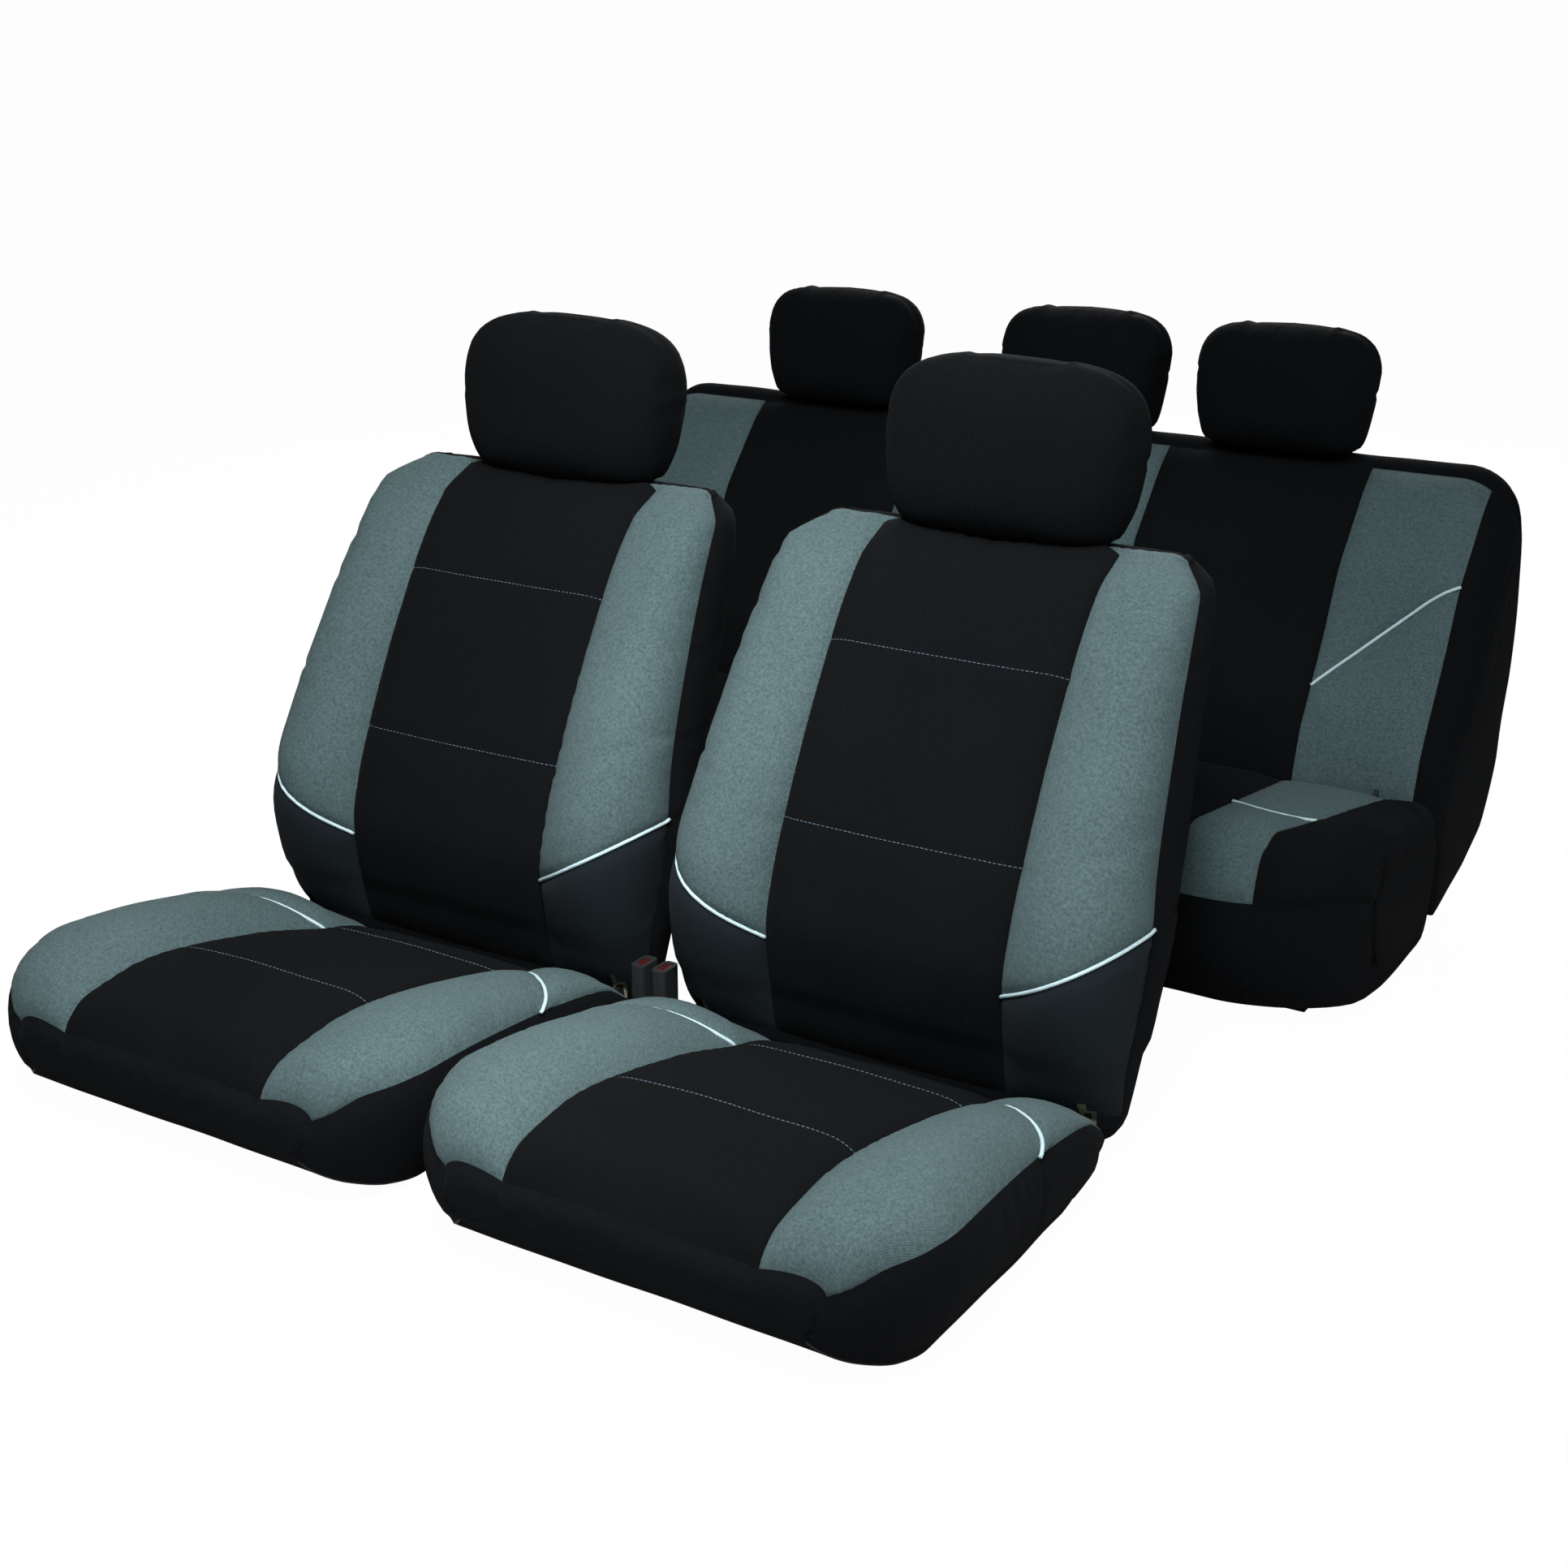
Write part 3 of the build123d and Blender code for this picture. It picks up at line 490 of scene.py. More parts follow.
def fabric(name, colour, pale, sheen, gloss, grain=620.0, mottle=0.5, rib=0.0026, depth=0.6):
    """Knit cloth: crossed ribs, fibre speckle, slow fading and a soft sheen."""
    material, nodes, links, principled = shader(name, 0.9)
    chart = nodes.new("ShaderNodeUVMap")
    chart.uv_map = "Weave"
    split = nodes.new("ShaderNodeSeparateXYZ")
    links.new(chart.outputs[0], split.inputs[0])
    turn = 2 * math.pi / rib
    across = operate(nodes, links, "SINE", operate(nodes, links, "MULTIPLY", split.outputs[0], turn))
    along = operate(
        nodes, links, "SINE", operate(nodes, links, "MULTIPLY", split.outputs[1], turn * 0.8)
    )
    knit = operate(nodes, links, "MULTIPLY", across, along)
    knit = operate(nodes, links, "MULTIPLY_ADD", knit, 0.5)
    knit.node.inputs[2].default_value = 0.5
    speckle = noise(nodes, links, grain, 1.0)
    fade = noise(nodes, links, 5.0, 3.0)
    tone = operate(nodes, links, "MULTIPLY", knit, 0.34)
    tone = operate(nodes, links, "ADD", tone, operate(nodes, links, "MULTIPLY", speckle, mottle))
    tone = operate(nodes, links, "ADD", tone, operate(nodes, links, "MULTIPLY", fade, 0.3))
    tone = operate(nodes, links, "SUBTRACT", tone, mottle / 2 - 0.18)
    mix = nodes.new("ShaderNodeMix")
    mix.data_type = "RGBA"
    mix.inputs["A"].default_value = (*colour, 1)
    mix.inputs["B"].default_value = (*pale, 1)
    links.new(tone, mix.inputs["Factor"])
    links.new(mix.outputs["Result"], principled.inputs["Base Color"])
    principled.inputs["Sheen Weight"].default_value = sheen
    principled.inputs["Sheen Roughness"].default_value = 0.45
    principled.inputs["Specular IOR Level"].default_value = gloss
    bump = nodes.new("ShaderNodeBump")
    bump.inputs["Strength"].default_value = depth
    bump.inputs["Distance"].default_value = 0.0006
    links.new(operate(nodes, links, "ADD", knit, operate(nodes, links, "MULTIPLY", speckle, 0.6)),
              bump.inputs["Height"])
    links.new(bump.outputs[0], principled.inputs["Normal"])
    return material


def plain(name, colour, roughness, metallic=0.0, grain=400.0, depth=0.1):
    """Plastic, metal, foam or cord with slight mottling and surface grain."""
    material, nodes, links, principled = shader(name, roughness, metallic)
    ramp = nodes.new("ShaderNodeValToRGB")
    ramp.color_ramp.elements[0].color = (*(c * 0.8 for c in colour), 1)
    ramp.color_ramp.elements[1].color = (*(min(1, c * 1.2) for c in colour), 1)
    links.new(noise(nodes, links, 30.0, 4.0), ramp.inputs[0])
    links.new(ramp.outputs[0], principled.inputs["Base Color"])
    bump = nodes.new("ShaderNodeBump")
    bump.inputs["Strength"].default_value = depth
    bump.inputs["Distance"].default_value = 0.0005
    links.new(noise(nodes, links, grain, 2.0), bump.inputs["Height"])
    links.new(bump.outputs[0], principled.inputs["Normal"])
    return material


BLACK = fabric("black_knit_cloth", (0.003, 0.0036, 0.0042), (0.0095, 0.011, 0.0128), 0.01, 0.03)
GREY = fabric("grey_knit_cloth", (0.046, 0.078, 0.084), (0.136, 0.206, 0.214), 0.04, 0.1, 330.0, 1.1)
CHARCOAL = fabric("charcoal_knit_cloth", (0.008, 0.0115, 0.014), (0.019, 0.026, 0.031), 0.02, 0.05)
PIPING = plain("pale_cord", (0.60, 0.80, 0.86), 0.55, grain=900.0, depth=0.35)
THREAD = plain("pale_thread", (0.10, 0.15, 0.20), 0.6, grain=1500.0, depth=0.3)
FOAM = plain("seat_foam_cream", (0.55, 0.50, 0.36), 0.95, grain=260.0, depth=0.8)
ELASTIC = plain("black_webbing", (0.02, 0.02, 0.021), 0.85, grain=900.0, depth=0.6)
STEEL = plain("frame_steel_paint", (0.035, 0.036, 0.04), 0.42, 0.6, grain=300.0, depth=0.15)
CHROME = plain("post_chrome_metal", (0.62, 0.63, 0.65), 0.16, 1.0, grain=80.0, depth=0.02)
PLASTIC = plain("buckle_black_plastic", (0.022, 0.024, 0.027), 0.42, grain=600.0, depth=0.2)
BUTTON = plain("button_dark_plastic", (0.055, 0.008, 0.008), 0.3, grain=600.0, depth=0.1)

# ------------------------------------------------------------------- front backrest form
# Stations: height, half width, middle face, bolster rise, side seam, rear face
BACKREST = np.array((
    (29, 236, -8, 0, -2, 8), (42, 250, -26, 0, -6, 26), (60, 258, -32, 0, -8, 32),
    (107, 264, -43, 10, -18, 50), (198, 269, -54, 26, 4, 84), (255, 271, -40, 32, 14, 107),
    (310, 267, -17, 30, 27, 129), (440, 257, 51, 16, 82, 178), (562, 243, 139, 4, 157, 220),
    (587, 214, 187, 0, 192, 216),
), float)
CREST, SHOULDER = 212.0, 26.0  # bolster crest from the middle plane, and from a narrow edge
SEAT_COUNTS = (16, 16, 10, 32)  # columns of middle panel half, bolster, side and back half
HALF_RING = sum(SEAT_COUNTS)
SEAM, SIDE_SEAM = SEAT_COUNTS[0], SEAT_COUNTS[0] + SEAT_COUNTS[1]


def arc(start, end, share, roundness):
    """Quarter-ellipse from start to end that leaves start sideways, eased to its chord."""
    turn = share * math.pi / 2
    k = roundness
    across = start[0] + (end[0] - start[0]) * (k * np.sin(turn) + (1 - k) * share)
    deep = start[1] + (end[1] - start[1]) * (k * (1 - np.cos(turn)) + (1 - k) * share)
    return across, deep


def bolster(share, middle, rise, half, side, fullness, toward):
    """From the middle seam over the crest to the side seam; toward is +1 or -1."""
    split = 0.42
    crest, crest_x = middle + toward * (rise + fullness), np.minimum(CREST, half - SHOULDER)
    low = np.clip(share / split, 0, 1)
    first = CENTRE + (crest_x - CENTRE) * low, middle + (crest - middle) * np.sin(low * math.pi / 2)
    high = np.clip((share - split) / (1 - split), 0, 1)
    second = arc((crest_x, crest), (half, side), high, 1.0)
    return tuple(np.where(share < split, a, b) for a, b in zip(first, second))


def shares(counts):
    """For each column of half a ring: which run it is on and how far along."""
    for run, count in enumerate(counts):
        for share in spread(count)[:-1]:
            yield run, share
    yield len(counts) - 1, 1.0


def backrest_column(run, share, z):
    _, half, front, rise, side, rear = (smooth(BACKREST[:, 0], c, z) for c in BACKREST.T)
    if run == 0:
        return CENTRE * share + 0 * z, front - 4 * (1 - share**2)
    if run == 1:
        return bolster(share, front, rise, half, side, 4.0, -1)
    if run == 2:
        turn = share * math.pi / 2
        swell = 3 * math.sin(math.pi * share)
        return half - 0.15 * half * (1 - math.cos(turn)) + swell, side + (rear - side) * math.sin(turn)
    return 0.85 * half * (1 - share), rear + 6 * (1 - (1 - share) ** 2)


def mirror_ring(half_columns):
    """Full ring of columns from the right half, whose first and last are on the middle."""
    left = [c * np.array((-1, 1, 1)) for c in half_columns[-2:0:-1]]
    return np.stack(half_columns + left, 1)


# Heights of the lower edge, foot seam, piping, two stitch rows and top seam, at both seams
BACK_COUNTS = (4, 13, 14, 19, 12)
BACK_MIDDLE = np.array((29, 66, 184, 310, 482, 587), float)
BACK_SIDE = np.array((29, 66, 262, 352, 500, 587), float)
WIDEST = 270.0
columns = []
for run, share in shares(SEAT_COUNTS):
    lean = float(run > 0)
    if run == 1:
        reach = bolster(share, 0, 20, WIDEST - 2, 50, 4, -1)[0]
        lean = float(np.clip((reach - CENTRE) / (WIDEST - CENTRE), 0, 1))
    z = chain(BACK_MIDDLE + (BACK_SIDE - BACK_MIDDLE) * lean, BACK_COUNTS, 0.3)
    x, y = backrest_column(run, share, z)
    columns.append(np.stack([x, y, z], 1))
backrest = Form(mirror_ring(columns), HALF_RING, (3, (0, 0, -3)), (6, (0, 3, 4)))
_, foot, pipe, stitch_low, stitch_high, top = marks(BACK_COUNTS, backrest.main)
top += 6  # the top seam runs over the rounded crown
across = np.arange(-SEAM, SEAM + 1)
front_face = np.arange(-SIDE_SEAM, SIDE_SEAM + 1)
flanks = (np.arange(SEAM, SIDE_SEAM + 1), -np.arange(SEAM, SIDE_SEAM + 1))
backrest.sew(slice(foot, top + 1), (SEAM, -SEAM, SIDE_SEAM, -SIDE_SEAM))
for row in (foot, top):
    backrest.sew(row, front_face)
for flank in flanks:
    backrest.sew(pipe, flank)


def faces(form, rows, cols):
    """Face mask of a block of the grid; columns wrap round the ring."""
    mask = np.zeros(form.quads.shape[:2], bool)
    cols = np.arange(*cols) % form.points.shape[1]
    mask[np.ix_(np.arange(*rows), cols)] = True
    return mask


def side_panels(form, rows):
    """Face mask of the panels on both sides of the middle one."""
    return faces(form, rows, (SEAM, SIDE_SEAM)) | faces(form, rows, (-SIDE_SEAM, -SEAM))


def row_line(form, row, cols):
    """Grid points of a row at the given columns."""
    cols = np.asarray(cols) % form.points.shape[1]
    return np.full(len(cols), row), cols


def stitched(form, rows):
    """Creases the middle panel along stitch rows, and returns their grid points."""
    lines = [row_line(form, row, across) for row in rows]
    mask = np.zeros(form.seam.shape, bool)
    for line in lines:
        mask[line] = True
    form.crease(mask, 1.6)
    return lines


backrest.pad(3.0, 2.0)
held = backrest.points[..., 2] < 125  # keeps clear of the cushion when the backrest tips forward
held[top + 1 :] = True
held[:, SIDE_SEAM + 10 : -SIDE_SEAM - 10] = True
backrest.settle(held)
stitch_rows = stitched(backrest, (stitch_low, stitch_high))
back_parts = {
    "centre_panel": faces(backrest, (foot, top), (-SEAM, SEAM)),
    "bolster_panels": side_panels(backrest, (pipe, top)),
    "lower_panels": side_panels(backrest, (foot, pipe)),
}
back_parts["back_cover"] = ~np.logical_or.reduce([*back_parts.values()])
BACK_CLOTH = {
    "centre_panel": (BLACK, "black_knit"),
    "bolster_panels": (GREY, "grey_knit"),
    "lower_panels": (CHARCOAL, "charcoal_knit"),
    "back_cover": (BLACK, "black_knit"),
}


def face_middles(form):
    return form.flat()[form.quads].mean(2)


def opening(form, half, front, rear, below=40):
    """Face mask of the open underside of a cushion cover, inside its hem."""
    x, y, z = np.moveaxis(face_middles(form), -1, 0)
    return (z < below) & (np.abs(x) < half) & (y > front) & (y < rear)


def post_gap(form, mask, places, low):
    """Removes the faces of a mask that lie round a post, above a height."""
    middle = face_middles(form)
    for x, y in places:
        near = np.hypot(middle[..., 0] - x, middle[..., 1] - y) < POST_GAP
        mask = mask & ~(near & (middle[..., 2] > low))
    return mask


RECLINER_Z, POST_LEAN = 60.0, math.radians(20)
POST_Y = (BACK_SIDE[-1] - RECLINER_Z) * math.tan(POST_LEAN)  # where the posts leave the backrest
x, y, z = np.moveaxis(face_middles(backrest), -1, 0)
# The recliner brackets pass through slots in the foot of the cover
slots = (np.abs(np.abs(x) - BRACKET_X) < 9) & (z < 88) & (y < 0)
back_parts = {part: mask & ~slots for part, mask in back_parts.items()}
back_parts["back_cover"] = post_gap(
    backrest, back_parts["back_cover"], [(x, POST_Y) for x in (-POST_X, POST_X)], 560
)

# -------------------------------------------------------------------- front cushion form
# Stations: distance forward, half width, middle face, bolster rise, side seam, hem, hem's half
CUSHION = np.array((
    (36, 250, 54, 0, 56, 34, 234), (60, 257, 65, 7, 74, 25, 240), (90, 260, 76, 17, 91, 14, 244),
    (130, 262, 87, 24, 103, 10, 247), (240, 267, 121, 22, 121, 10, 248),
    (400, 279, 149, 14, 138, 12, 247), (440, 270, 145, 13, 135, 18, 240),
    (475, 250, 138, 11, 130, 30, 221), (498, 224, 122, 4, 112, 46, 200),
    (508, 198, 104, 2, 100, 62, 182),
), float)
CUSHION_COUNTS = (10, 25, 15, 7, 1)


def cushion_column(run, share, forward):
    _, half, up, rise, side, hem, low = (smooth(CUSHION[:, 0], c, forward) for c in CUSHION.T)
    if run == 0:
        return CENTRE * share + 0 * forward, up + 3 * (1 - share**2)
    if run == 1:
        return bolster(share, up, rise, half, side, 4.0, 1)
    if run == 2:
        swell = 4 * math.sin(math.pi * share)
        return half + swell - (half - low) * share**2, side + (hem - side) * share
    return low * (1 - share), hem + 0 * forward


# Distance forward of the rear edge, piping, second stitch row, nose, apron seam and front edge
CUSHION_MIDDLE = np.array((36, 113, 337, 470, 505, 508), float)
CUSHION_FLANK = np.array((36, 220, 384, 470, 505, 508), float)
columns = []
for run, share in shares(SEAT_COUNTS):
    lean = {0: 0.0, 1: share}.get(run, 1.0)
    forward = chain(
        CUSHION_MIDDLE + (CUSHION_FLANK - CUSHION_MIDDLE) * lean, CUSHION_COUNTS, 0.3
    )
    x, z = cushion_column(run, share, forward)
    columns.append(np.stack([x, -forward, z], 1))
cushion = Form(mirror_ring(columns), HALF_RING, (3, (0, 3, 0)), (6, (0, -5, 0)))
rear, pipe_row, fore, _, apron, _ = marks(CUSHION_COUNTS, cushion.main)
cushion.sew(slice(rear, apron + 1), (SEAM, -SEAM, SIDE_SEAM, -SIDE_SEAM))
cushion.sew(apron, front_face)
for flank in flanks:
    cushion.sew(pipe_row, flank)
cushion.pad(3.0, 2.0)
held = cushion.points[..., 1] > -80  # keeps clear of the backrest when it tips forward
held[:, SIDE_SEAM + 8 : -SIDE_SEAM - 8] = True
cushion.settle(held)
cushion_stitches = stitched(cushion, (pipe_row, fore))
cushion_parts = {
    "centre_panel": faces(cushion, (rear, apron), (-SEAM, SEAM)),
    "bolster_panels": side_panels(cushion, (rear, apron)),
}
cushion_parts["skirt"] = ~np.logical_or.reduce(
    [*cushion_parts.values(), opening(cushion, 212, -450, -56)]
)
CUSHION_CLOTH = {
    "centre_panel": (BLACK, "black_knit"),
    "bolster_panels": (GREY, "grey_knit"),
    "skirt": (BLACK, "black_knit"),
}


# ----------------------------------------------------------------------------- headrests
def squared(wave):
    """A sine or cosine, eased so that the section lies between an ellipse and a rectangle."""
    return np.sign(wave) * np.abs(wave) ** (2 / 2.7)


def headrest(half, front, rear, cols, rows):
    """Plump block of rounded level sections; each profile is a list of height, value."""
    stations = [np.array(p, float).T for p in (half, front, rear)]
    fine = np.linspace(half[0][0], half[-1][0], 400)
    wide, near, far = (smooth(z, v, fine) for z, v in stations)
    travel = np.concatenate([[0], np.cumsum(np.sqrt(
        np.diff(fine) ** 2 + (np.diff(wide) ** 2 + np.diff(near) ** 2) / 2
    ))])
    z = np.interp(np.linspace(0, travel[-1], rows + 1), travel, fine)
    wide, near, far = (smooth(s, v, z)[:, None] for s, v in stations)
    turn = np.linspace(0, 2 * math.pi, 2000)
    usual_width = 1.9  # of a section, where its depth is 1
    s = lengths(np.stack([usual_width * squared(np.sin(turn)), -squared(np.cos(turn))], 1))
    at = np.interp(np.linspace(0, s[-1], cols + 1)[:-1], s, turn)
    x = wide * squared(np.sin(at))
    y = (near + far) / 2 - (far - near) / 2 * squared(np.cos(at))
    rings = np.stack([x, y, np.broadcast_to(z[:, None], x.shape)], 2)
    form = Form(rings, cols // 2, (5, (0, 0, -3)), (4, (0, 0, 3)))
    quarter = cols // 4
    ends = form.main
    form.sew(slice(ends, form.last + 1), (quarter, -quarter))
    form.pad(2.0, 0.8, 30.0)
    held = np.zeros(form.seam.shape, bool)
    held[: ends + 1] = True
    form.settle(held, 3.5, 0.02)
    return form


FRONT_HEAD = headrest(
    ((591, 116), (595, 123), (603, 128), (625, 137), (665, 145), (690, 147), (712, 145),
     (730, 140), (747, 129), (759, 113), (767, 92), (772, 64)),
    ((591, 176), (597, 167), (610, 161), (640, 156), (700, 162), (735, 172), (754, 184),
     (765, 196), (772, 208)),
    ((591, 250), (597, 259), (610, 266), (640, 276), (700, 282), (735, 275), (754, 263),
     (765, 250), (772, 236)),
    96, 28,
)
REAR_HEAD = headrest(
    ((568, 98), (572, 103), (580, 107), (600, 112), (636, 118), (665, 119), (683, 116),
     (697, 110), (709, 99), (716, 86), (720, 66)),
    ((568, 892), (574, 882), (590, 876), (608, 872), (668, 877), (693, 884), (708, 893),
     (716, 903), (720, 912)),
    ((568, 958), (574, 968), (590, 975), (608, 980), (668, 984), (693, 977), (708, 966),
     (716, 954), (720, 944)),
    80, 26,
)

# ---------------------------------------------------------------------------- rear bench
BENCH_HALF = 645.0
BENCH_SEAMS = (183.0, 461.0, 615.0)
BENCH_RUNS = (9, 15, 26, 34, 26, 15, 9)
BACK_CORNER, SEAT_CORNER = 70.0, 150.0
corner_turn = np.linspace(0, math.pi / 2, BENCH_RUNS[0] + 1)


def bench_rows(outer):
    """Lengthwise stations of every column, given where the outer seam lies in each."""
    first, second, _ = BENCH_SEAMS
    inner = chain(
        [-outer, -second + 0 * outer, -first + 0 * outer, first + 0 * outer,
         second + 0 * outer, outer], BENCH_RUNS[1:-1], 0.35
    )
    end = outer + (BENCH_HALF - outer) * np.sin(corner_turn[1:, None])
    return np.concatenate([-end[::-1], inner, end])


def corner_drop(x, corner):
    """How far the rounded corner has turned in at a distance from the middle."""
    past = np.clip(np.abs(x) - (BENCH_HALF - corner), 0, corner)
    return corner - np.sqrt(corner**2 - past**2)


def drawn_in(rings, mate, depth):
    """Ends of the bench: every ring point moves towards its partner by the depth."""
    partner = (mate - np.arange(rings.shape[1])) % rings.shape[1]
    way = (rings[:, partner] - rings) / 2
    length = np.linalg.norm(way, axis=2)
    share = np.minimum(depth / np.maximum(length, 1e-9), 0.9)
    return rings + way * share[..., None]


def between(x, low, high):
    """Share from 0 to 1 as the distance from the middle goes between two seams."""
    return np.clip((np.abs(x) - low) / (high - low), 0, 1)


def bench_form(rings, low, pipe, high, still):
    """A bench cover sewn on its grid: its form, and the rows of its six cross seams."""
    form = Form(rings, 0, (9, (-3, 0, 0)), (9, (3, 0, 0)))
    seams = marks(BENCH_RUNS, form.main)[1:-1]
    form.sew(slice(seams[0], seams[-1] + 1), (low, high))
    for row in seams:
        form.sew(row, np.arange(low, high + 1))
    for near, far in (seams[:2], seams[-2:]):
        form.sew(slice(near, far + 1), pipe)
    form.pad(3.5, 2.2, 30.0)
    held = np.ones(form.seam.shape, bool)
    held[4:-4, low + 1 : high] = False
    form.settle(held | still(form.points))
    return form, seams


BACKREST_SIDE = (
    (715, 45), (690, 62), (690, 196), (706, 256), (770, 366), (806, 443), (884, 532), (926, 563),
    (945, 562), (960, 552), (978, 510), (986, 400), (982, 300), (960, 180), (917, 93), (850, 60),
    (740, 34), (715, 45),
)
profile = rounded(BACKREST_SIDE, 9)
s_all = lengths(profile)
crown = int(profile[:, 1].argmax())
front_s, front_z = s_all[: crown + 1], profile[: crown + 1, 1]
rising = front_z > 60


def front_place(z):
    """Distance along the side profile at which its front face reaches a height."""
    return np.interp(z, front_z[rising], front_s[rising])


BENCH_BACK_COUNTS = (12, 14, 30, 4)
back_half = sum(BENCH_BACK_COUNTS)
x_rows = bench_rows(np.full(2 * back_half, BENCH_SEAMS[2]))
line = x_rows[:, 0]
pipe_low, pipe_high = 307, 448  # heights of the piping at its inner and outer ends
pipe_z = pipe_low + (pipe_high - pipe_low) * between(line, *BENCH_SEAMS[1:])
crown_s, full_s = s_all[crown], s_all[-1]
front_part = chain(
    [0 * line, front_place(184) + 0 * line, front_place(pipe_z), front_place(553) + 0 * line,
     crown_s + 0 * line], BENCH_BACK_COUNTS, 0.3
).T
rear_part = np.broadcast_to(
    np.linspace(crown_s, full_s, back_half + 1)[1:-1], (len(line), back_half - 1)
)
s_ring = np.concatenate([front_part, rear_part], 1)
y, z = (np.interp(s_ring, s_all, profile[:, k]) for k in (0, 1))
back_low, back_high = 45, 562
turned = corner_drop(x_rows, BACK_CORNER) / (back_high - back_low)
z = back_low + (z - back_low) * (1 - turned * (z > back_low))
rings = drawn_in(np.stack([x_rows, y, z], 2), 0, corner_drop(x_rows, 26.0))
back_zone = marks(BENCH_BACK_COUNTS)[1:4]
bench_back, back_seams = bench_form(rings, *back_zone, lambda p: p[..., 2] < 270)

SEAT_BACK, SEAT_DEPTH = 684, 378
CUSHION_SIDE = (
    (SEAT_BACK, 107), (679, 188), (664, 204), (571, 218), (360, 249), (322, 232), (306, 188),
    (307, 150), (312, 108), (330, 68), (366, 34), (425, 12), (470, 9), (680, 9), (SEAT_BACK, 107),
)
SEAT_SEAM = (553, 555, 566, 573, 590, 592), (306, 395, 460, 482, 660, 680)  # x at each y
profile = rounded(CUSHION_SIDE, 9)
s_all = lengths(profile)
BENCH_CUSHION_COUNTS = (6, 22, 24, 3)
PIPE_Y = 485  # depth of the piping at its inner end
seat_half = sum(BENCH_CUSHION_COUNTS)
front_mid = int(profile[:, 0].argmin())
top_y, top_s = profile[60 : front_mid, 0], s_all[60 : front_mid]
down = slice(front_mid - 60, front_mid + 30)


def top_place(y):
    """Distance along the side profile at which its top reaches a depth."""
    return np.interp(-np.asarray(y, float), -top_y, top_s)


rear_s, low_s = 65, s_all[front_mid] + 28
face_s = np.interp(-178.0, -profile[down, 1], s_all[down])
guess = chain([0, rear_s, top_place(PIPE_Y), face_s, low_s], BENCH_CUSHION_COUNTS, 0.3)
depth_y = np.interp(guess, s_all, profile[:, 0])
outer = np.full(2 * seat_half, SEAT_SEAM[0][-1])
outer[: seat_half + 1] = np.interp(depth_y, *SEAT_SEAM[::-1])
outer[seat_half + 1 :] = np.interp(
    np.arange(seat_half + 1, 2 * seat_half), (seat_half, 2 * seat_half),
    (outer[seat_half], SEAT_SEAM[0][-1]),
)
x_rows = bench_rows(outer)
cushion_pipe = top_place(PIPE_Y - 40 * between(x_rows[:, 22], BENCH_SEAMS[1], 570))
line = 0 * cushion_pipe
front_part = chain(
    [line, line + rear_s, cushion_pipe, line + face_s, line + low_s], BENCH_CUSHION_COUNTS, 0.3
).T
under_part = np.broadcast_to(
    np.linspace(low_s, s_all[-1], seat_half + 1)[1:-1], (len(line), seat_half - 1)
)
s_ring = np.concatenate([front_part, under_part], 1)
y, z = (np.interp(s_ring, s_all, profile[:, k]) for k in (0, 1))
y = SEAT_BACK - (SEAT_BACK - y) * (1 - corner_drop(x_rows, SEAT_CORNER) / SEAT_DEPTH)
rings = drawn_in(np.stack([x_rows, y, z], 2), 0, corner_drop(x_rows, 24.0))
seat_zone = marks(BENCH_CUSHION_COUNTS)[1:4]
bench_seat, seat_seams = bench_form(rings, *seat_zone, lambda p: p[..., 1] > 640)


def bench_zones(form, seams, low, high):
    """Face masks of the grey and the black panels and of the rest of a bench cover."""
    blocks = [faces(form, pair, (low, high)) for pair in zip(seams, seams[1:])]
    grey, black = (np.logical_or.reduce(blocks[k::2]) for k in (0, 1))
    return grey, black, ~(grey | black)


# ------------------------------------------------------------------------------- placing
def place(piece, offset, body, *nodes):
    """Moves a piece to its seat, attaches it to a CAD body and hides what it stands for."""
    piece.data.transform(Matrix.Translation(Vector(offset) * MM))
    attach(piece, body)
    if nodes:
        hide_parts(*nodes)
    return piece


def twin(piece, name):
    """A copy of a piece with its own mesh."""
    again = bpy.data.objects.new(name, piece.data.copy())
    bpy.context.scene.collection.objects.link(again)
    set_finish(again, piece["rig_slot"])
    return again


def for_both(make, name, body, node=None):
    """Makes a front-seat piece once and places it on both seats."""
    first = make(f"left_{name}")
    second = twin(first, f"right_{name}")
    for side, piece in zip(SIDES, (first, second)):
        nodes = [f"{side}_{node}"] if node else []
        piece.name = f"{side}_{name}.sewn"
        place(piece, seat_at[side], f"{side}_{body}", *nodes)


for part, mask in back_parts.items():
    cloth, slot = BACK_CLOTH[part]
    for_both(
        lambda n, m=mask, c=cloth, s=slot: sheet(n, backrest, m, c, s),
        f"backrest_{part}", "backrest", f"backrest_{part}",
    )
for part, mask in cushion_parts.items():
    cloth, slot = CUSHION_CLOTH[part]
    for_both(
        lambda n, m=mask, c=cloth, s=slot: sheet(n, cushion, m, c, s),
        f"cushion_{part}", "seat", f"cushion_{part}",
    )
for group, form, row, body in (
    ("backrest", backrest, pipe, "backrest"), ("cushion", cushion, pipe_row, "seat"),
):
    runs = [row_line(form, row, flank) for flank in flanks]
    for_both(
        lambda n, f=form, r=runs: cord(n, f, r),
        f"{group}_piping", body, f"{group}_piping",
    )
for_both(lambda n: stitches(n, backrest, stitch_rows), "backrest_stitches", "backrest")
for_both(lambda n: stitches(n, cushion, cushion_stitches), "cushion_stitches", "seat")
for_both(lambda n: core(n, backrest, FOAM), "backrest_foam", "backrest", "backrest_foam")
for_both(lambda n: core(n, cushion, FOAM), "cushion_foam", "seat", "cushion_foam")

hem_cols = [sign * sum(SEAT_COUNTS[:3]) for sign in (1, -1)]
hem_rows = np.arange(rear, apron + 1)


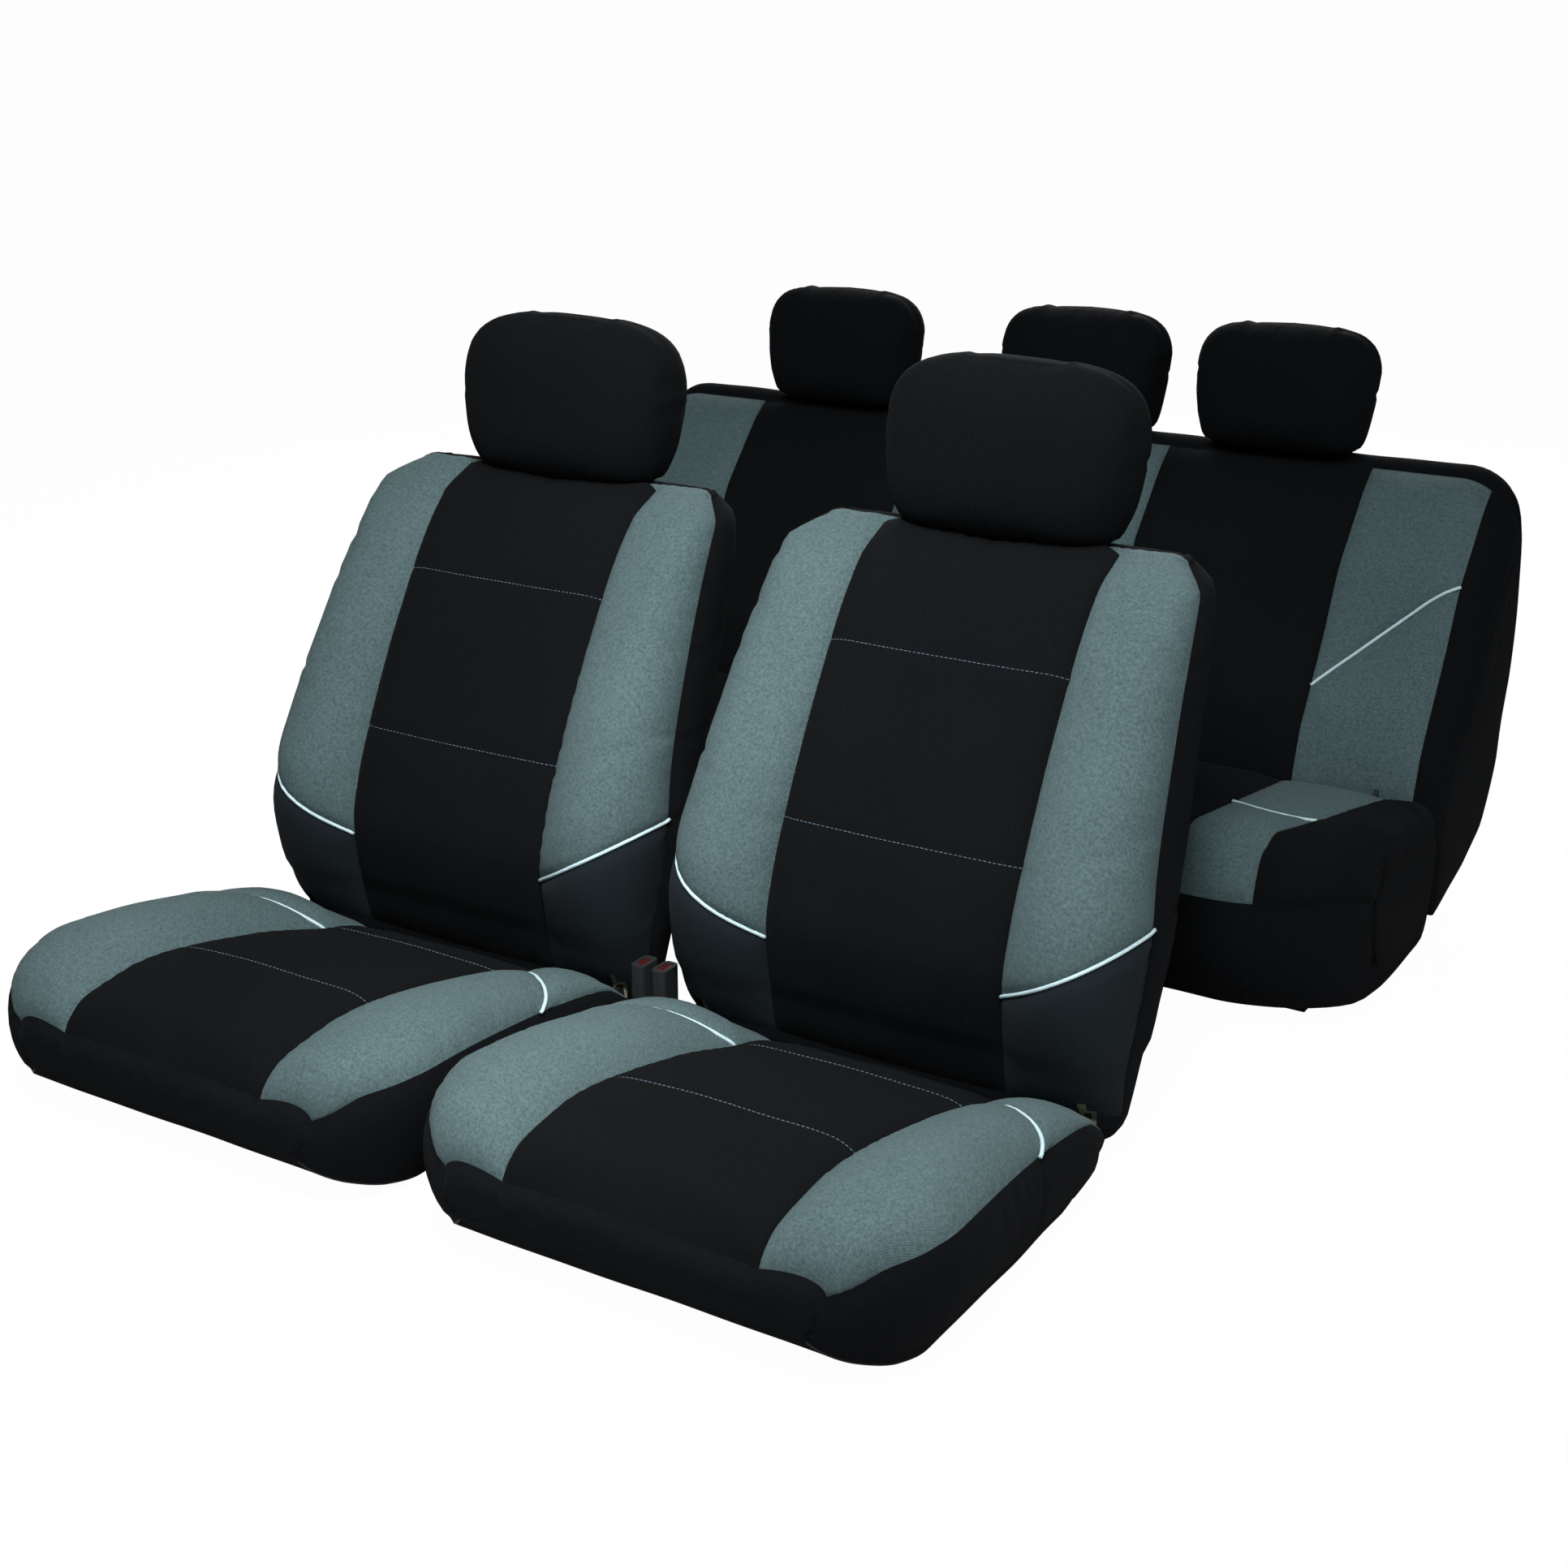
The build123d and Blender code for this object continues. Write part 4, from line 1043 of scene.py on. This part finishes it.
def hem(name):
    """Elastic sewn into the lower edge of the skirt, along both sides."""
    runs = [(hem_rows, np.full(len(hem_rows), c % cushion.points.shape[1])) for c in hem_cols]
    return cord(name, cushion, runs, 2.6, -2.3, ELASTIC, "elastic_strap")


def straps(name):
    """Two elastic straps below the pan, each with a clip, from the front hem to the rear one."""
    front_y, rear_y, level = -458, -60, 23.7
    along, across_clip = np.linspace(0, 1, 25), np.linspace(-1, 1, 9)
    y = front_y + (rear_y - front_y) * along
    z = level + 6 * along - 3 * np.sin(math.pi * along)
    clip_y = (front_y + rear_y) / 2 + 15 * across_clip
    end = across_clip**6  # the clip is thinner and narrower at both ends
    parts = []
    for x in (-70, 70):
        parts.append(ribbon(x, y, z, np.full(25, 12.5), np.full(25, 0.75)))
        parts.append(ribbon(x, clip_y, np.full(9, level), 19 - 4 * end, 3 - 1.6 * end))
    return solid(name, *joined(parts), ELASTIC, "elastic_strap")


for_both(hem, "cushion_hem", "seat")
for_both(straps, "cushion_straps", "seat", "cushion_straps")

every = np.ones(FRONT_HEAD.quads.shape[:2], bool)
for_both(
    lambda n: sheet(n, FRONT_HEAD, every, BLACK, "black_knit"),
    "headrest_cover", "headrest", "headrest_cover",
)
for_both(lambda n: core(n, FRONT_HEAD, FOAM), "headrest_foam", "headrest", "headrest_foam")

every = np.ones(REAR_HEAD.quads.shape[:2], bool)
for where in PLACES:
    low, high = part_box(f"rear_{where}_headrest_cover")
    at = bench_at + Vector(((low.x + high.x) / 2 / MM, 0, 0))
    body = f"rear_{where}_headrest"
    name = f"rear_{where}_headrest"
    place(sheet(f"{name}_cover.sewn", REAR_HEAD, every, BLACK, "black_knit"), at, body,
          f"{name}_cover")
    place(core(f"{name}_foam.sewn", REAR_HEAD, FOAM), at, body, f"{name}_foam")

rear_posts = []
for where in PLACES:
    low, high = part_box(f"rear_{where}_headrest_posts")
    post_y = (low.y + high.y) / 2 / MM - bench_at.y
    rear_posts += [(low.x / MM + POST_R, post_y), (high.x / MM - POST_R, post_y)]


def place_bench(group, form, seams, zone, hidden, trim, body):
    """Panels, piping and foam of a bench cover; trim takes the openings out of its hidden part."""
    low, pipe_col, high = zone
    grey, black, rest = bench_zones(form, seams, low, high)
    for part, mask, cloth, slot in (
        ("grey_panels", grey, GREY, "grey_knit"), ("black_panels", black, BLACK, "black_knit"),
        (hidden, trim(rest), BLACK, "black_knit"),
    ):
        name = f"{group}_{part}"
        place(sheet(f"{name}.sewn", form, mask, cloth, slot), bench_at, body, name)
    runs = [
        (np.arange(a, b + 1), np.full(b - a + 1, pipe_col)) for a, b in (seams[:2], seams[-2:])
    ]
    name = f"{group}_piping"
    place(cord(f"{name}.sewn", form, runs), bench_at, body, name)
    name = f"{group}_foam"
    place(core(f"{name}.sewn", form, FOAM), bench_at, body, name)


place_bench(
    "rear_backrest", bench_back, back_seams, back_zone, "back_cover",
    lambda mask: post_gap(bench_back, mask, rear_posts, 520), "rear_backrest",
)
place_bench(
    "rear_cushion", bench_seat, seat_seams, seat_zone, "skirt",
    lambda mask: mask & ~opening(bench_seat, 595, 430, 645), "floor",
)

FINISHES = {"posts": CHROME, "button": BUTTON, "buckle": PLASTIC}
for name, node in frame["nodes"].items():
    finish = next((material for word, material in FINISHES.items() if word in name), STEEL)
    node.data.materials.clear()
    node.data.materials.append(finish)

# -------------------------------------------------------------------------------- studio
BACKDROP, AMBIENT = 0.982, 0.11  # strength of the even light from all round
scene = bpy.context.scene
bpy.ops.mesh.primitive_plane_add(size=400, location=(0, 0, -0.0005))
floor = bpy.context.object
floor.name = "studio_floor"
sweep, nodes, links, base = shader("studio_floor_paint", 0.9)
base.inputs["Base Color"].default_value = (0.5, 0.5, 0.5, 1)
glow, blend, seen = (
    nodes.new(f"ShaderNode{kind}") for kind in ("Emission", "MixShader", "LightPath")
)
links.new(operate(nodes, links, "MULTIPLY", seen.outputs["Is Camera Ray"], 0.93), blend.inputs[0])
links.new(base.outputs[0], blend.inputs[1])
links.new(glow.outputs[0], blend.inputs[2])
links.new(blend.outputs[0], nodes["Material Output"].inputs["Surface"])
glow.inputs["Strength"].default_value = 1.05
floor.data.materials.append(sweep)

world = bpy.data.worlds.new("studio")
world.use_nodes = True
nodes, links = world.node_tree.nodes, world.node_tree.links
seen = nodes.new("ShaderNodeLightPath")
level = operate(nodes, links, "MULTIPLY_ADD", seen.outputs["Is Camera Ray"], BACKDROP - AMBIENT)
level.node.inputs[2].default_value = AMBIENT
nodes["Background"].inputs["Color"].default_value = (1, 1, 1, 1)
links.new(level, nodes["Background"].inputs["Strength"])
scene.world = world


def softbox(name, at, aim, size, power, beam=180):
    light = bpy.data.lights.new(name, "AREA")
    light.size, light.energy, light.spread = size, power, math.radians(beam)
    lamp = bpy.data.objects.new(name, light)
    lamp.location = at
    lamp.rotation_euler = (Vector(aim) - Vector(at)).to_track_quat("-Z", "Y").to_euler()
    scene.collection.objects.link(lamp)


softbox("key", (0.95, -1.6, 2.1), (0.15, -0.6, 0.5), 0.6, 8.5, 70)
softbox("fill", (-1.3, -2.0, 2.0), (-0.3, -0.4, 0.4), 1.0, 5)
softbox("top", (0.1, -0.75, 1.75), (0.1, -0.5, 0.4), 0.7, 5.5, 110)
softbox("side", (2.9, 0.4, 1.5), (0.3, 0.1, 0.3), 1.4, 12)
softbox("rear", (-0.9, 2.9, 1.9), (-0.1, 0.3, 0.3), 1.6, 60)

camera = bpy.data.cameras.new("camera")
camera.lens, camera.sensor_width = 51.5, 36
eye = bpy.data.objects.new("camera", camera)
eye.location = (1.324, -2.138, 1.145)
eye.rotation_euler = (math.radians(90 - 19.81), 0, math.radians(31.93))
scene.collection.objects.link(eye)
scene.camera = eye
scene.view_settings.view_transform = "Standard"
